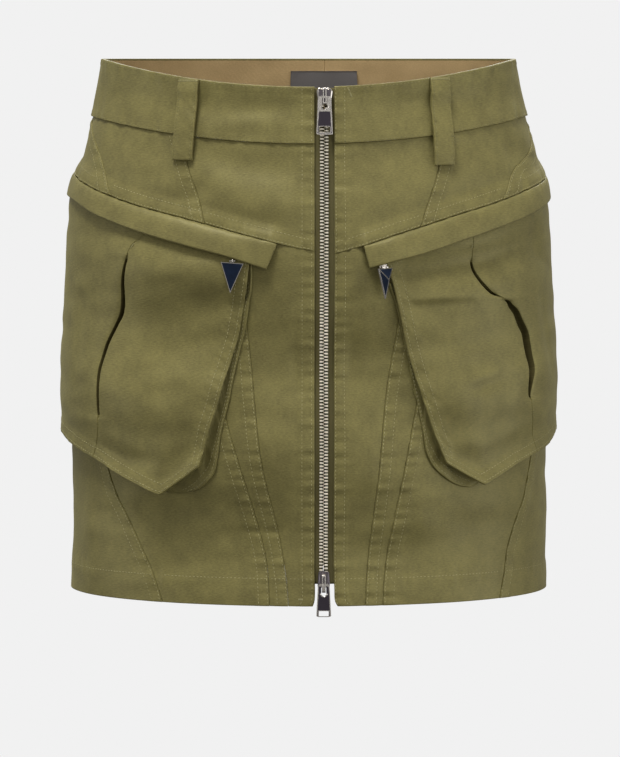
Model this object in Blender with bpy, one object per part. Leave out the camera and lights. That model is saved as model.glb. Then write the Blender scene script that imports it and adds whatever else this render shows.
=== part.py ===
"""Cargo utility skirt, worn form, hollow and open at waist and hem.

Metres, +Z up, front towards -Y, wearer's left towards +X. The origin is the centre of the
waist, half way up the waistband. Every cloth piece is laid on one form, the shape the skirt
takes when worn: a place on it is an angle round the waist (0 at the front, positive to the
wearer's left, in degrees), a height, and a distance out from the form.
"""

from bisect import bisect_right
from math import asin, cos, degrees, pi, radians, sin

import bmesh
import bpy
from mathutils import Matrix, Vector

# ---------------------------------------------------------------- driving dimensions

WAIST_TOP = 0.0200            # height of the waistband's upper edge at the sides
WAIST_DIP = 0.0187            # how much lower that edge is at the front
BAND_SEAM = -0.0195           # height of the waistband's lower seam at the sides
BAND_SEAM_DIP = 0.0176
HEM = -0.3490

CLOTH = 0.0015                # wall of a skirt panel, with its seam allowances
BAND_CLOTH = 0.0022           # folded waistband
BAND_PROUD = 0.0004           # the waistband stands this far out of the form
FLAP_CLOTH = 0.0014
POCKET_CLOTH = 0.0012         # pocket face
GUSSET_CLOTH = 0.0012
LOOP_CLOTH = 0.0016
SEAM_GAP = 0.0003             # free space between two pieces at a seam
FACET = 7.0                   # widest facet round the form, in degrees

BACK_SEAM = 175.4             # angle of the centre-back seam
BAND_SIDE_SEAM = 91.0         # angle of the waistband's side seams
POCKET_REAR = 106.0           # angle of a pocket's rear edge

# The form: a row for each level, an oval with unlike front and back halves.
# Height, half width, depth of the front half, depth of the back half.
RINGS = (
    (0.020, 0.1430, 0.0960, 0.1010),
    (0.000, 0.1470, 0.0990, 0.1040),
    (-0.021, 0.1515, 0.1020, 0.1080),
    (-0.044, 0.1580, 0.1060, 0.1130),
    (-0.066, 0.1628, 0.1090, 0.1180),
    (-0.100, 0.1638, 0.1120, 0.1230),
    (-0.140, 0.1645, 0.1140, 0.1260),
    (-0.180, 0.1650, 0.1150, 0.1260),
    (-0.220, 0.1653, 0.1160, 0.1240),
    (-0.252, 0.1655, 0.1160, 0.1220),
    (-0.290, 0.1653, 0.1160, 0.1200),
    (-0.325, 0.1660, 0.1170, 0.1190),
    (-0.355, 0.1670, 0.1180, 0.1190),
)

# Seams that run round the form: angle, height.
YOKE_SEAM = {
    "right": ((-184.6, -0.0730), (-150.0, -0.0660), (-120.0, -0.0600), (-95.0, -0.0580),
              (-78.0, -0.0620), (-61.0, -0.0698), (-45.0, -0.0792), (-29.0, -0.0882),
              (-13.0, -0.0994), (-2.6, -0.1070), (1.6, -0.1092)),
    "left": ((5.6, -0.1109), (10.0, -0.1077), (20.6, -0.0983), (30.0, -0.0908),
             (39.0, -0.0841), (51.6, -0.0769), (64.6, -0.0698), (75.0, -0.0655),
             (95.0, -0.0600), (120.0, -0.0605), (150.0, -0.0665), (175.4, -0.0730)),
}

# Seams that run down the form: height, angle.
SLANT_SEAM = {
    "right": ((-0.030, -34.8), (-0.050, -31.0), (-0.070, -27.5), (-0.084, -25.6), (-0.095, -24.4)),
    "left": ((-0.030, 37.0), (-0.054, 33.1), (-0.068, 30.7), (-0.083, 28.4), (-0.100, 26.0)),
}
YOKE_SIDE_SEAM = {
    "right": ((-0.017, -90.0), (-0.029, -77.7), (-0.042, -67.5), (-0.056, -60.3), (-0.076, -53.6)),
    "left": ((-0.020, 93.0), (-0.038, 80.0), (-0.047, 72.0), (-0.056, 61.4), (-0.077, 52.9)),
}
INNER_SEAM = {
    "right": ((-0.100, -18.0), (-0.160, -14.8), (-0.220, -12.3), (-0.262, -10.2), (-0.305, -6.8),
              (-0.335, -5.1), (-0.350, -4.7)),
    "left": ((-0.100, 25.0), (-0.170, 20.8), (-0.208, 18.5), (-0.252, 16.6), (-0.291, 15.2),
             (-0.331, 13.7), (-0.350, 13.3)),
}
OUTER_SEAM = {
    "right": ((-0.090, -30.0), (-0.160, -24.5), (-0.222, -19.6), (-0.250, -16.5), (-0.294, -12.2),
              (-0.322, -9.9), (-0.350, -9.1)),
    "left": ((-0.090, 37.0), (-0.160, 31.0), (-0.213, 26.3), (-0.264, 22.2), (-0.301, 19.7),
             (-0.336, 17.8), (-0.350, 17.6)),
}
SIDE_FRONT_SEAM = {
    "right": ((-0.060, -84.0), (-0.180, -70.0), (-0.267, -54.9), (-0.300, -46.6), (-0.330, -39.8),
              (-0.350, -36.6)),
    "left": ((-0.060, 86.0), (-0.180, 78.0), (-0.257, 67.6), (-0.290, 61.2), (-0.317, 55.6),
             (-0.332, 53.7), (-0.350, 51.7)),
}

# Zip opening: height, then the sideways place of its wearer's-right and left cloth edges.
ZIP_EDGES = (
    (0.020, 0.0040, 0.0172),
    (-0.110, 0.0041, 0.0174),
    (-0.320, 0.0036, 0.0170),
    (-0.338, 0.0034, 0.0176),
    (-0.350, 0.0024, 0.0206),
)
ZIP_CENTRE_TOP = 0.0106
ZIP_CENTRE_BOTTOM = 0.0100
TAPE_WIDTH = 0.0130
TAPE_CLOTH = 0.0008
TAPE_TOP_SET = 0.0010         # the tapes begin this far under the waistband's edge
TAPE_END = -0.3340
CHAIN_WIDTH = 0.0062
CHAIN_FRONT = 0.0005          # the chain's face stands out of the form by this
CHAIN_DEPTH = 0.0022
CHAIN_SLIDER_GAP = 0.0012     # the sliders tilt with the cloth, so the chain ends short of them

# Pockets. Lines down the face: height, angle.
POCKET_FRONT_EDGE = {
    "right": ((-0.105, -13.0), (-0.133, -13.7), (-0.153, -14.5), (-0.175, -16.3), (-0.209, -19.7),
              (-0.230, -22.3), (-0.254, -25.0)),
    "left": ((-0.100, 15.4), (-0.118, 17.0), (-0.132, 19.0), (-0.162, 21.7), (-0.181, 22.8), (-0.209, 25.7),
             (-0.231, 28.3), (-0.253, 32.7)),
}
POCKET_PLEAT = {
    "right": ((-0.085, -41.5), (-0.108, -43.8), (-0.130, -46.5), (-0.153, -47.3), (-0.175, -52.1),
              (-0.203, -54.2), (-0.247, -56.5)),
    "left": ((-0.085, 41.0), (-0.107, 41.0), (-0.132, 43.5), (-0.148, 50.0), (-0.177, 55.2),
             (-0.207, 58.4), (-0.247, 63.4)),
}
# Lower edge of the face, corner to rear edge: angle, height. The lowest row is its point.
POCKET_LOWER_EDGE = {
    "right": ((-25.0, -0.2541), (-35.5, -0.2749), (-43.9, -0.2667), (-56.6, -0.2540),
              (-69.0, -0.2460), (-80.0, -0.2405), (-106.0, -0.2370)),
    "left": ((32.7, -0.2531), (42.9, -0.2687), (54.5, -0.2565), (63.4, -0.2505),
             (72.0, -0.2460), (82.0, -0.2385), (106.0, -0.2350)),
}
POCKET_TOP_COVER = 0.0062     # how far under the flap the face begins
FACE_FRONT_COLUMNS = 9        # facets from the front edge to the pleat, the point after the third
FACE_REAR_COLUMNS = 7         # facets from the pleat to the rear edge
FACE_ROWS = 13
PLEAT_WIDTH = 0.0040
PLEAT_DEPTH = 0.0045
PLEAT_REACH = (0.04, 0.86)    # share of the face's height over which the pleat is open
# How far the face stands out: a row for each share of the way down.
STAND_COLUMNS = ("down", "front_edge", "point", "pleat", "side", "rear_edge")
POCKET_STAND = (
    (0.000, 0.0024, 0.0024, 0.0024, 0.0020, 0.0020),
    (0.065, 0.0042, 0.0046, 0.0048, 0.0030, 0.0028),
    (0.180, 0.0058, 0.0080, 0.0090, 0.0056, 0.0048),
    (0.450, 0.0110, 0.0155, 0.0135, 0.0086, 0.0066),
    (0.750, 0.0150, 0.0185, 0.0140, 0.0092, 0.0074),
    (1.000, 0.0160, 0.0160, 0.0115, 0.0084, 0.0068),
)
STAND_PLACES = (0.0, 0.1875, 0.5625, 0.78, 1.0)   # where across the face those columns lie

# Seam of the gusset on the skirt, from under the flap to the point: angle, height.
GUSSET_SEAM = {
    "right": ((-13.3, -0.1170), (-13.6, -0.1350), (-14.9, -0.1600), (-17.1, -0.1846),
              (-19.0, -0.2120), (-20.6, -0.2320), (-21.4, -0.2480), (-22.6, -0.2605),
              (-26.7, -0.2708), (-32.5, -0.2740)),
    "left": ((17.3, -0.1190), (19.6, -0.1350), (22.0, -0.1600), (24.2, -0.1850),
             (26.2, -0.2110), (27.6, -0.2320), (28.4, -0.2460), (31.0, -0.2575),
             (36.6, -0.2680), (42.7, -0.2716)),
}
GUSSET_CORNER = 7             # the row of that table that faces the front lower corner
GUSSET_GAP = 0.0008           # it leans, so its ends keep more than a seam gap
GUSSET_INSET = 0.0010         # it stands this far inside the face's edge
GUSSET_TUCK = 0.0020          # and its hidden seam is this far under the face
GUSSET_BULGE = 0.0012
GUSSET_START = 0.075          # how far down the face it begins, still under the flap
GUSSET_STEPS = 3              # stations between two rows of the seam's table
GUSSET_REAR_STATIONS = 20     # stations from the point to the rear lower corner
GUSSET_REAR_EDGE = (0.92, 0.8, 0.65, 0.5, 0.35, 0.25)    # then up the rear edge of the face
POCKET_MIDDLE = (62.0, -0.185, 0.008)      # a place inside the pocket

# Flaps. Lower edge: angle, height, how far its face stands out.
FLAP_LOWER_EDGE = {
    "right": ((-106.0, -0.0745, 0.0056), (-90.0, -0.0745, 0.0054), (-72.5, -0.0775, 0.0066),
              (-58.0, -0.0862, 0.0082), (-42.2, -0.0968, 0.0086), (-25.3, -0.1079, 0.0086),
              (-17.4, -0.1135, 0.0094), (-9.6, -0.1212, 0.0068)),
    "left": ((13.9, -0.1205, 0.0072), (19.1, -0.1162, 0.0096), (27.0, -0.1109, 0.0090),
             (40.0, -0.1006, 0.0086), (55.2, -0.0911, 0.0082), (75.1, -0.0808, 0.0064),
             (90.0, -0.0765, 0.0054), (106.0, -0.0755, 0.0056)),
}
FLAP_FRONT_END = {"right": (-7.2, -9.6), "left": (12.6, 13.9)}   # angle above, angle below
FLAP_SEAM_STAND = 0.0022
FLAP_REAR = 108.0
FLAP_CURVE = 0.62             # it swings out at once under the seam, then hangs

# Belt loops: name, angle above, angle below, lowest height.
LOOPS = (
    ("belt_loop_front_right", -33.4, -32.1, -0.0485),
    ("belt_loop_front_left", 37.2, 34.6, -0.0520),
    ("belt_loop_side_back_right", -128.0, -128.0, -0.0330),
    ("belt_loop_side_back_left", 128.0, 128.0, -0.0330),
    ("belt_loop_back", 175.4, 175.4, -0.0330),
)
LOOP_WIDTH = 0.0148
LOOP_END_STAND = 0.0024       # outer face at the two bar tacks
LOOP_STAND = 0.0056           # outer face between them
LOOP_RISE = 5                 # it lifts off over the first and last fifth of its length
LOOP_TOP_SET = 0.0004         # it begins this far under the waistband's edge

LABEL = {"from": 166.0, "to": 185.2, "top": 0.0110, "bottom": -0.0110}
LABEL_CLOTH = 0.0008

# Zip sliders and their pulls, each with a hinge across the zip.
SLIDER_FRONT = 0.0024         # slider's face, out of the form
HINGE_LIFT = 0.0012           # hinge axis above that face
BAIL_RADIUS = 0.0017
BAIL_WIRE = 0.0005
PULL_PLATE = 0.0016
PULL_BAR = 0.0012             # the pull's bar in the bail, measured down the pull
PULL_WINDOW = 0.0020          # window from that bar down
PULL_WINDOW_WIDTH = 0.0022
PULL_CORNER = 0.0012
SLIDER_BEVEL = 0.0006
# Height of the hinge, of the slider's top and bottom, and the slider's width.
SLIDERS = {
    "top": (-0.0058, 0.0006, -0.0106, 0.0116),
    "bottom": (-0.3338, -0.3250, -0.3358, 0.0084),
}
# Width of the pull above and below, and its length.
PULLS = {"top": (0.0088, 0.0110, 0.0260), "bottom": (0.0078, 0.0100, 0.0222)}

# Pocket pulls: angle, height and distance out of the hinge, the pull's turn about its own
# length, and how far out of the form its staple's plate lies.
POCKET_PULLS = {
    "right": (-17.4, -0.1154, 0.0100, 0.0, 0.0064),
    "left": (17.3, -0.1196, 0.0122, -127.0, 0.0062),
}
PULL_BASE_HALF = 0.0077       # half the triangle's upper edge
PULL_TRIANGLE = 0.0200        # from that edge to the tip
PULL_RIM = 0.0010
PULL_APEX = 0.0030            # its back rises to a point by this
RING_RADIUS = 0.0011
RING_WIRE = 0.0004
STAPLE_HALF = 0.0016
STAPLE_PLATE = 0.0008
STAPLE_PLATE_HALF = 0.0026
STAPLE_BEVEL = 0.0002
STAPLE_REACH = (-0.0008, 0.0018)     # base plate, below and above the hinge axis

MERGE = 1e-6                  # points nearer than this are one

CLOTH_COLOUR = (0.165, 0.175, 0.065)
METAL_COLOUR = (0.78, 0.77, 0.74)
ENAMEL_COLOUR = (0.012, 0.018, 0.035)
LABEL_COLOUR = (0.04, 0.045, 0.055)


# ---------------------------------------------------------------- the form

def curve_through(rows, column=1):
    """A smooth function through the rows of a table, read by their first column."""
    rows = sorted(rows)
    places = [row[0] for row in rows]
    values = [row[column] for row in rows]
    last = len(rows) - 1
    slopes = []
    for i in range(last + 1):
        before, after = max(i - 1, 0), min(i + 1, last)
        slopes.append((values[after] - values[before]) / (places[after] - places[before]))

    def value(at):
        if at <= places[0]:
            return values[0] + slopes[0] * (at - places[0])
        if at >= places[last]:
            return values[last] + slopes[last] * (at - places[last])
        i = bisect_right(places, at) - 1
        span = places[i + 1] - places[i]
        t = (at - places[i]) / span
        rise = values[i + 1] - values[i]
        return (values[i] + rise * t * t * (3 - 2 * t)
                + span * t * (1 - t) * (slopes[i] * (1 - t) - slopes[i + 1] * t))
    return value


def straight_through(rows):
    """As curve_through, with straight stretches between the rows."""
    rows = sorted(rows)

    def value(at):
        at = min(max(at, rows[0][0]), rows[-1][0])
        for (place, level), (next_place, next_level) in zip(rows, rows[1:]):
            if at <= next_place:
                return level + (next_level - level) * (at - place) / (next_place - place)
        return rows[-1][1]
    return value


half_width = curve_through(RINGS, 1)
front_depth = curve_through(RINGS, 2)
back_depth = curve_through(RINGS, 3)


def on_form(angle, height, out=0.0):
    """The point at an angle and height, moved straight out of the form."""
    turn = radians(angle)
    width = half_width(height)
    depth = front_depth(height) if cos(turn) > 0 else back_depth(height)
    normal = Vector((sin(turn) / width, -cos(turn) / depth, 0)).normalized()
    return Vector((width * sin(turn), -depth * cos(turn), height)) + out * normal


def angle_of_width(sideways, height):
    """Angle of the point on the front half that lies this far sideways."""
    return degrees(asin(sideways / half_width(height)))


def degrees_for(length, height):
    """Angle that a short length spans, by the form's mean radius."""
    return degrees(length / (0.5 * (half_width(height) + front_depth(height))))


def waist_top(angle):
    front = max(cos(radians(angle)), 0.0)
    return WAIST_TOP - WAIST_DIP * front * front


def band_seam(angle):
    front = max(cos(radians(angle)), 0.0)
    return BAND_SEAM - BAND_SEAM_DIP * front * front


def hem(angle):
    return HEM


def at_angle(angle):
    """A straight upright edge."""
    return lambda height: angle


zip_right_edge = curve_through(ZIP_EDGES, 1)
zip_left_edge = curve_through(ZIP_EDGES, 2)


def zip_edge(side):
    edge = zip_right_edge if side == "right" else zip_left_edge
    return lambda height: angle_of_width(edge(height), height)


def zip_centre(height):
    share = (WAIST_TOP - height) / (WAIST_TOP - HEM)
    return ZIP_CENTRE_TOP + (ZIP_CENTRE_BOTTOM - ZIP_CENTRE_TOP) * share


# ---------------------------------------------------------------- making pieces

def start_scene():
    for thing in list(bpy.data.objects):
        bpy.data.objects.remove(thing, do_unlink=True)
    for name in ("cargo_utility_skirt", "cutters"):
        bpy.context.scene.collection.children.link(bpy.data.collections.new(name))


def material(name, colour, roughness, metallic=0.0):
    made = bpy.data.materials.new(name)
    made.use_nodes = True
    shader = made.node_tree.nodes["Principled BSDF"]
    shader.inputs["Base Color"].default_value = (*colour, 1.0)
    shader.inputs["Roughness"].default_value = roughness
    shader.inputs["Metallic"].default_value = metallic
    return made


def keep(name, mesh, finish, smooth=True):
    """Put a finished mesh into the skirt's collection as one named object."""
    mesh.materials.append(finish)
    if smooth:
        mesh.shade_smooth()
        mesh.set_sharp_from_angle(angle=radians(40))
    piece = bpy.data.objects.new(name, mesh)
    bpy.data.collections["cargo_utility_skirt"].objects.link(piece)
    return piece


def cloth_piece(name, columns, rows, place, wall, finish):
    """A grid extruded into a wall. Its points are laid by place(across, down, depth), where
    across and down run from 0 to 1 and depth is how far into the wall a point lies."""
    cloth = bmesh.new()
    bmesh.ops.create_grid(cloth, x_segments=columns, y_segments=rows, size=0.5)
    inner_points = set(cloth.verts)
    bmesh.ops.extrude_face_region(cloth, geom=cloth.faces[:], use_keep_orig=True)
    for point in cloth.verts:
        depth = wall if point in inner_points else 0.0
        point.co = place(point.co.x + 0.5, 0.5 - point.co.y, depth)
    if cloth.calc_volume(signed=True) < 0:
        bmesh.ops.reverse_faces(cloth, faces=cloth.faces[:])
    mesh = bpy.data.meshes.new(name)
    cloth.to_mesh(mesh)
    cloth.free()
    return keep(name, mesh, finish)


def between_seams(first, last, upper, lower):
    """Place function of a panel: upright edges give angles, level edges give heights."""
    def place(across, down):
        angle, height = first(-0.1), -0.1
        for _ in range(14):
            low = first(height) + degrees_for(SEAM_GAP / 2, height)
            high = last(height) - degrees_for(SEAM_GAP / 2, height)
            angle = low + (high - low) * across
            top = upper(angle) - SEAM_GAP / 2
            bottom = lower(angle) + SEAM_GAP / 2
            height = top + (bottom - top) * down
        return angle, height
    return place


def panel(name, first, last, upper, lower, rows, finish, wall=CLOTH, out=0.0):
    find = between_seams(first, last, upper, lower)
    spans = [abs(find(1, down)[0] - find(0, down)[0]) for down in (0, 0.5, 1)]
    columns = max(2, int(max(spans) / FACET) + 1)

    def place(across, down, depth):
        return on_form(*find(across, down), out - depth)

    return cloth_piece(name, columns, rows, place, wall, finish)


# ---------------------------------------------------------------- skirt panels

def make_panels(twill):
    for side, sign in (("right", -1), ("left", 1)):
        def ordered(near, far):
            """Edges in order of angle: near lies towards the zip, far towards the back."""
            return (near, far) if sign > 0 else (far, near)

        front = zip_edge(side)
        slant = curve_through(SLANT_SEAM[side])
        yoke_side = curve_through(YOKE_SIDE_SEAM[side])
        inner = curve_through(INNER_SEAM[side])
        outer = curve_through(OUTER_SEAM[side])
        side_front = curve_through(SIDE_FRONT_SEAM[side])
        band_side = at_angle(sign * BAND_SIDE_SEAM)
        back = at_angle(BACK_SEAM if sign > 0 else BACK_SEAM - 360)
        yoke = curve_through(YOKE_SEAM[side])

        panel(f"waistband_front_{side}", *ordered(front, band_side), waist_top, band_seam, 3,
              twill, BAND_CLOTH, BAND_PROUD)
        panel(f"waistband_back_{side}", *ordered(band_side, back), waist_top, band_seam, 3,
              twill, BAND_CLOTH, BAND_PROUD)
        panel(f"yoke_front_{side}", *ordered(front, slant), band_seam, yoke, 4, twill)
        panel(f"yoke_side_{side}", *ordered(slant, yoke_side), band_seam, yoke, 5, twill)
        panel(f"yoke_back_{side}", *ordered(yoke_side, back), band_seam, yoke, 5, twill)
        panel(f"front_centre_{side}", *ordered(front, inner), yoke, hem, 10, twill)
        panel(f"front_wedge_{side}", *ordered(inner, outer), yoke, hem, 10, twill)
        panel(f"front_side_{side}", *ordered(outer, side_front), yoke, hem, 10, twill)
        panel(f"back_{side}", *ordered(side_front, back), yoke, hem, 10, twill)


def make_belt_loops(twill):
    for name, upper_angle, lower_angle, lower_height in LOOPS:
        def place(across, down, depth):
            angle = upper_angle + (lower_angle - upper_angle) * down
            top = waist_top(angle) - LOOP_TOP_SET
            height = top + (lower_height - top) * down
            lift = min(1.0, LOOP_RISE * down, LOOP_RISE * (1 - down))
            stand = LOOP_END_STAND + (LOOP_STAND - LOOP_END_STAND) * sin(lift * pi / 2)
            reach = (across - 0.5) * LOOP_WIDTH
            middle = on_form(angle, height, stand - depth)
            beside = on_form(angle + 1.0, height, stand) - on_form(angle - 1.0, height, stand)
            return middle + reach * beside.normalized()

        cloth_piece(name, 2, 10, place, LOOP_CLOTH, twill)


def make_label(woven):
    def place(across, down, depth):
        angle = LABEL["from"] + (LABEL["to"] - LABEL["from"]) * across
        height = LABEL["top"] + (LABEL["bottom"] - LABEL["top"]) * down
        return on_form(angle, height, BAND_PROUD - BAND_CLOTH - SEAM_GAP - depth)

    cloth_piece("label", 4, 2, place, LABEL_CLOTH, woven)


# ---------------------------------------------------------------- cargo pockets

def pocket_grid(side):
    """Place function of a pocket face, as (across, down) to (angle, height, out)."""
    sign = 1 if side == "left" else -1
    front_edge = curve_through(POCKET_FRONT_EDGE[side])
    pleat = curve_through(POCKET_PLEAT[side])
    lower = straight_through(POCKET_LOWER_EDGE[side])
    yoke = curve_through(YOKE_SEAM[side])
    stands = [curve_through(POCKET_STAND, column) for column in range(1, len(STAND_COLUMNS))]
    columns = FACE_FRONT_COLUMNS + FACE_REAR_COLUMNS
    pleat_place = FACE_FRONT_COLUMNS / columns

    def place(across, down):
        height = -0.2
        for _ in range(14):
            near, fold = front_edge(height), pleat(height)
            if across <= pleat_place:
                angle = near + (fold - near) * across / pleat_place
            else:
                share = (across - pleat_place) / (1 - pleat_place)
                angle = fold + (sign * POCKET_REAR - fold) * share
            top = yoke(angle) - POCKET_TOP_COVER
            height = top + (lower(angle) - top) * down
        levels = list(zip(STAND_PLACES, [stand(down) for stand in stands]))
        return angle, height, straight_through(levels)(across)
    return place


def pleat_shift(column, down):
    """Sideways and inward shift of the three grid lines that make the open pleat."""
    start, end = PLEAT_REACH
    if not start < down < end or abs(column - FACE_FRONT_COLUMNS) > 1:
        return None
    opening = sin(pi * (down - start) / (end - start)) ** 0.5
    beside = column - FACE_FRONT_COLUMNS
    return beside, opening


def make_pocket_face(side, twill):
    sign = 1 if side == "left" else -1
    find = pocket_grid(side)
    columns = FACE_FRONT_COLUMNS + FACE_REAR_COLUMNS

    def place(across, down, depth):
        if sign < 0:
            across = 1 - across
        column = round(across * columns)
        angle, height, out = find(across, down)
        fold = pleat_shift(column, down)
        if fold:
            beside, opening = fold
            middle, _, _ = find(FACE_FRONT_COLUMNS / columns, down)
            if beside:
                angle = middle + sign * beside * degrees_for(PLEAT_WIDTH / 2, height)
            else:
                out -= PLEAT_DEPTH * opening
        return on_form(angle, height, out - depth)

    cloth_piece(f"pocket_face_{side}", columns, FACE_ROWS, place, POCKET_CLOTH, twill)


def gusset_lines(side):
    """Pairs of places along the gusset: on the face's edge and on the skirt."""
    sign = 1 if side == "left" else -1
    find = pocket_grid(side)
    seam = GUSSET_SEAM[side]
    pairs = []
    corner = GUSSET_CORNER * GUSSET_STEPS
    stations = (len(seam) - 1) * GUSSET_STEPS
    point_place = STAND_PLACES[1]
    for k in range(stations + 1):
        row, share = divmod(k / GUSSET_STEPS, 1)
        upper, lower = seam[int(row)], seam[min(int(row) + 1, len(seam) - 1)]
        ground = [a + (b - a) * share for a, b in zip(upper, lower)]
        if k <= corner:                        # down the front edge
            face = find(0.0, GUSSET_START + (1 - GUSSET_START) * k / corner)
        else:                                  # along the lower edge to the point
            face = find(point_place * (k - corner) / (stations - corner), 1.0)
        pairs.append((face, ground))
    for k in range(1, GUSSET_REAR_STATIONS + 1):
        across = point_place + (1 - point_place) * k / GUSSET_REAR_STATIONS
        angle, height, out = find(across, 1.0)
        tuck = GUSSET_TUCK * min(1.0, k / 4)   # the seam slips under the face within 4 stations
        pairs.append(((angle, height, out), (angle, height + tuck)))
    for down in GUSSET_REAR_EDGE:
        angle, height, out = find(1.0, down)
        tuck = sign * degrees_for(GUSSET_TUCK, height)
        pairs.append(((angle, height, out), (angle - tuck, height)))
    return pairs


def make_pocket_gusset(side, twill):
    pairs = gusset_lines(side)
    angle, height, out = POCKET_MIDDLE
    centre = on_form(angle if side == "left" else -angle, height, out)

    def place(across, down, depth):
        (angle, height, out), ground = pairs[round(across * (len(pairs) - 1))]
        edge = on_form(angle, height, out - POCKET_CLOTH - GUSSET_GAP)
        foot = on_form(*ground, GUSSET_GAP)
        inwards = centre - edge
        inwards -= inwards.project(edge - foot)
        edge += GUSSET_INSET * inwards.normalized()
        normal = (on_form(*ground, 0.01) - on_form(*ground)).normalized()
        lean = (edge - foot).normalized().cross(normal).length
        foot += GUSSET_CLOTH * lean * normal
        edge -= GUSSET_CLOTH * lean * normal
        drawn_in = (depth - GUSSET_BULGE * sin(pi * down)) * inwards.normalized()
        return edge.lerp(foot, down) + drawn_in

    cloth_piece(f"pocket_gusset_{side}", len(pairs) - 1, 3, place, GUSSET_CLOTH, twill)


def make_pocket_flap(side, twill):
    sign = 1 if side == "left" else -1
    yoke = curve_through(YOKE_SEAM[side])
    lower = curve_through(FLAP_LOWER_EDGE[side], 1)
    stand = curve_through(FLAP_LOWER_EDGE[side], 2)
    above, below = FLAP_FRONT_END[side]

    def place(across, down, depth):
        share = across if sign > 0 else 1 - across
        front = above + (below - above) * down
        angle = front + (sign * FLAP_REAR - front) * share
        top = yoke(angle) - SEAM_GAP
        height = top + (lower(angle) - top) * down
        out = FLAP_SEAM_STAND + (stand(angle) - FLAP_SEAM_STAND) * down ** FLAP_CURVE
        return on_form(angle, height, out - depth)

    cloth_piece(f"pocket_flap_{side}", 17, 3, place, FLAP_CLOTH, twill)


# ---------------------------------------------------------------- zip

def zip_strip(name, from_side, to_side, top, bottom, out, thickness, finish):
    """A strip along the zip, between two distances from its centre line."""
    def place(across, down, depth):
        height = top + (bottom - top) * down
        sideways = zip_centre(height) + from_side + (to_side - from_side) * across
        return on_form(angle_of_width(sideways, height), height, out - depth)

    cloth_piece(name, 2, 24, place, thickness, finish)


def make_zip_tapes_and_chain(tape_cloth, metal):
    top = waist_top(0) - TAPE_TOP_SET
    behind = BAND_PROUD - BAND_CLOTH - SEAM_GAP
    zip_strip("zip_tape_right", -TAPE_WIDTH, -SEAM_GAP, top, TAPE_END, behind, TAPE_CLOTH,
              tape_cloth)
    zip_strip("zip_tape_left", SEAM_GAP, TAPE_WIDTH, top, TAPE_END, behind, TAPE_CLOTH,
              tape_cloth)
    chain_top = SLIDERS["top"][2] - CHAIN_SLIDER_GAP
    chain_bottom = SLIDERS["bottom"][1] + CHAIN_SLIDER_GAP
    half = CHAIN_WIDTH / 2
    zip_strip("zip_chain", -half, half, chain_top, chain_bottom, CHAIN_FRONT, CHAIN_DEPTH, metal)


def zip_frame(height, out):
    """Placement on the zip: its own Z runs up the slope of the skirt, its -Y straight out."""
    sideways = zip_centre(height)
    here = on_form(angle_of_width(sideways, height), height, out)
    step = 0.008
    above = on_form(angle_of_width(sideways, height + step), height + step, out)
    below = on_form(angle_of_width(sideways, height - step), height - step, out)
    up = Vector((0, above.y - below.y, above.z - below.z)).normalized()
    outwards = Vector((0, -up.z, up.y))
    if outwards.y > 0:
        outwards.negate()
    turn = Matrix((Vector((1, 0, 0)), -outwards, up)).transposed()
    return Matrix.Translation(here) @ turn.to_4x4()


def box_mesh(name, low, high, bevel=0.0):
    """A box from corner to corner, with its edges rounded."""
    shape = bmesh.new()
    bmesh.ops.create_cube(shape, size=1.0)
    for vertex in shape.verts:
        vertex.co = Vector(h if c > 0 else l for c, l, h in zip(vertex.co, low, high))
    if bevel:
        bmesh.ops.bevel(shape, geom=shape.edges[:], offset=bevel, segments=2, profile=0.5,
                        affect="EDGES")
    mesh = bpy.data.meshes.new(name)
    shape.to_mesh(mesh)
    shape.free()
    return mesh


def ring_mesh(name, radius, wire):
    """A wire ring about the X axis."""
    ring = bmesh.new()
    bmesh.ops.create_circle(ring, segments=8, radius=wire)
    bmesh.ops.translate(ring, verts=ring.verts[:], vec=(radius, 0, 0))
    bmesh.ops.spin(ring, geom=ring.verts[:] + ring.edges[:], cent=(0, 0, 0), axis=(0, 1, 0),
                   angle=2 * pi, steps=20, use_merge=True)
    bmesh.ops.remove_doubles(ring, verts=ring.verts[:], dist=MERGE)
    bmesh.ops.recalc_face_normals(ring, faces=ring.faces[:])
    bmesh.ops.rotate(ring, verts=ring.verts[:], cent=(0, 0, 0),
                     matrix=Matrix.Rotation(pi / 2, 3, "Z"))
    mesh = bpy.data.meshes.new(name)
    ring.to_mesh(mesh)
    ring.free()
    return mesh


def join(piece, tool_mesh, tool_name, operation="UNION"):
    """Join a mesh to a piece, or cut it, in the piece's own place."""
    tool = bpy.data.objects.new(tool_name, tool_mesh)
    bpy.data.collections["cutters"].objects.link(tool)
    tool.matrix_world = piece.matrix_world.copy()
    tool.hide_render = True
    tool.display_type = "WIRE"
    step = piece.modifiers.new(tool_name, "BOOLEAN")
    step.object = tool
    step.operation = operation
    step.solver = "EXACT"


def make_zip_slider(which, metal):
    """Slider with a bail; its own origin is on the hinge axis of its pull."""
    hinge, top, bottom, width = SLIDERS[which]
    place = zip_frame(hinge, SLIDER_FRONT + HINGE_LIFT)
    back = HINGE_LIFT + SLIDER_FRONT + CHAIN_DEPTH - CHAIN_FRONT
    body = box_mesh(f"zip_slider_{which}", (-width / 2, HINGE_LIFT, bottom - hinge),
                    (width / 2, back, top - hinge), SLIDER_BEVEL)
    slider = keep(f"zip_slider_{which}", body, metal)
    slider.matrix_world = place
    join(slider, ring_mesh(f"bail_{which}", BAIL_RADIUS, BAIL_WIRE), f"bail_{which}")
    return place


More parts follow.
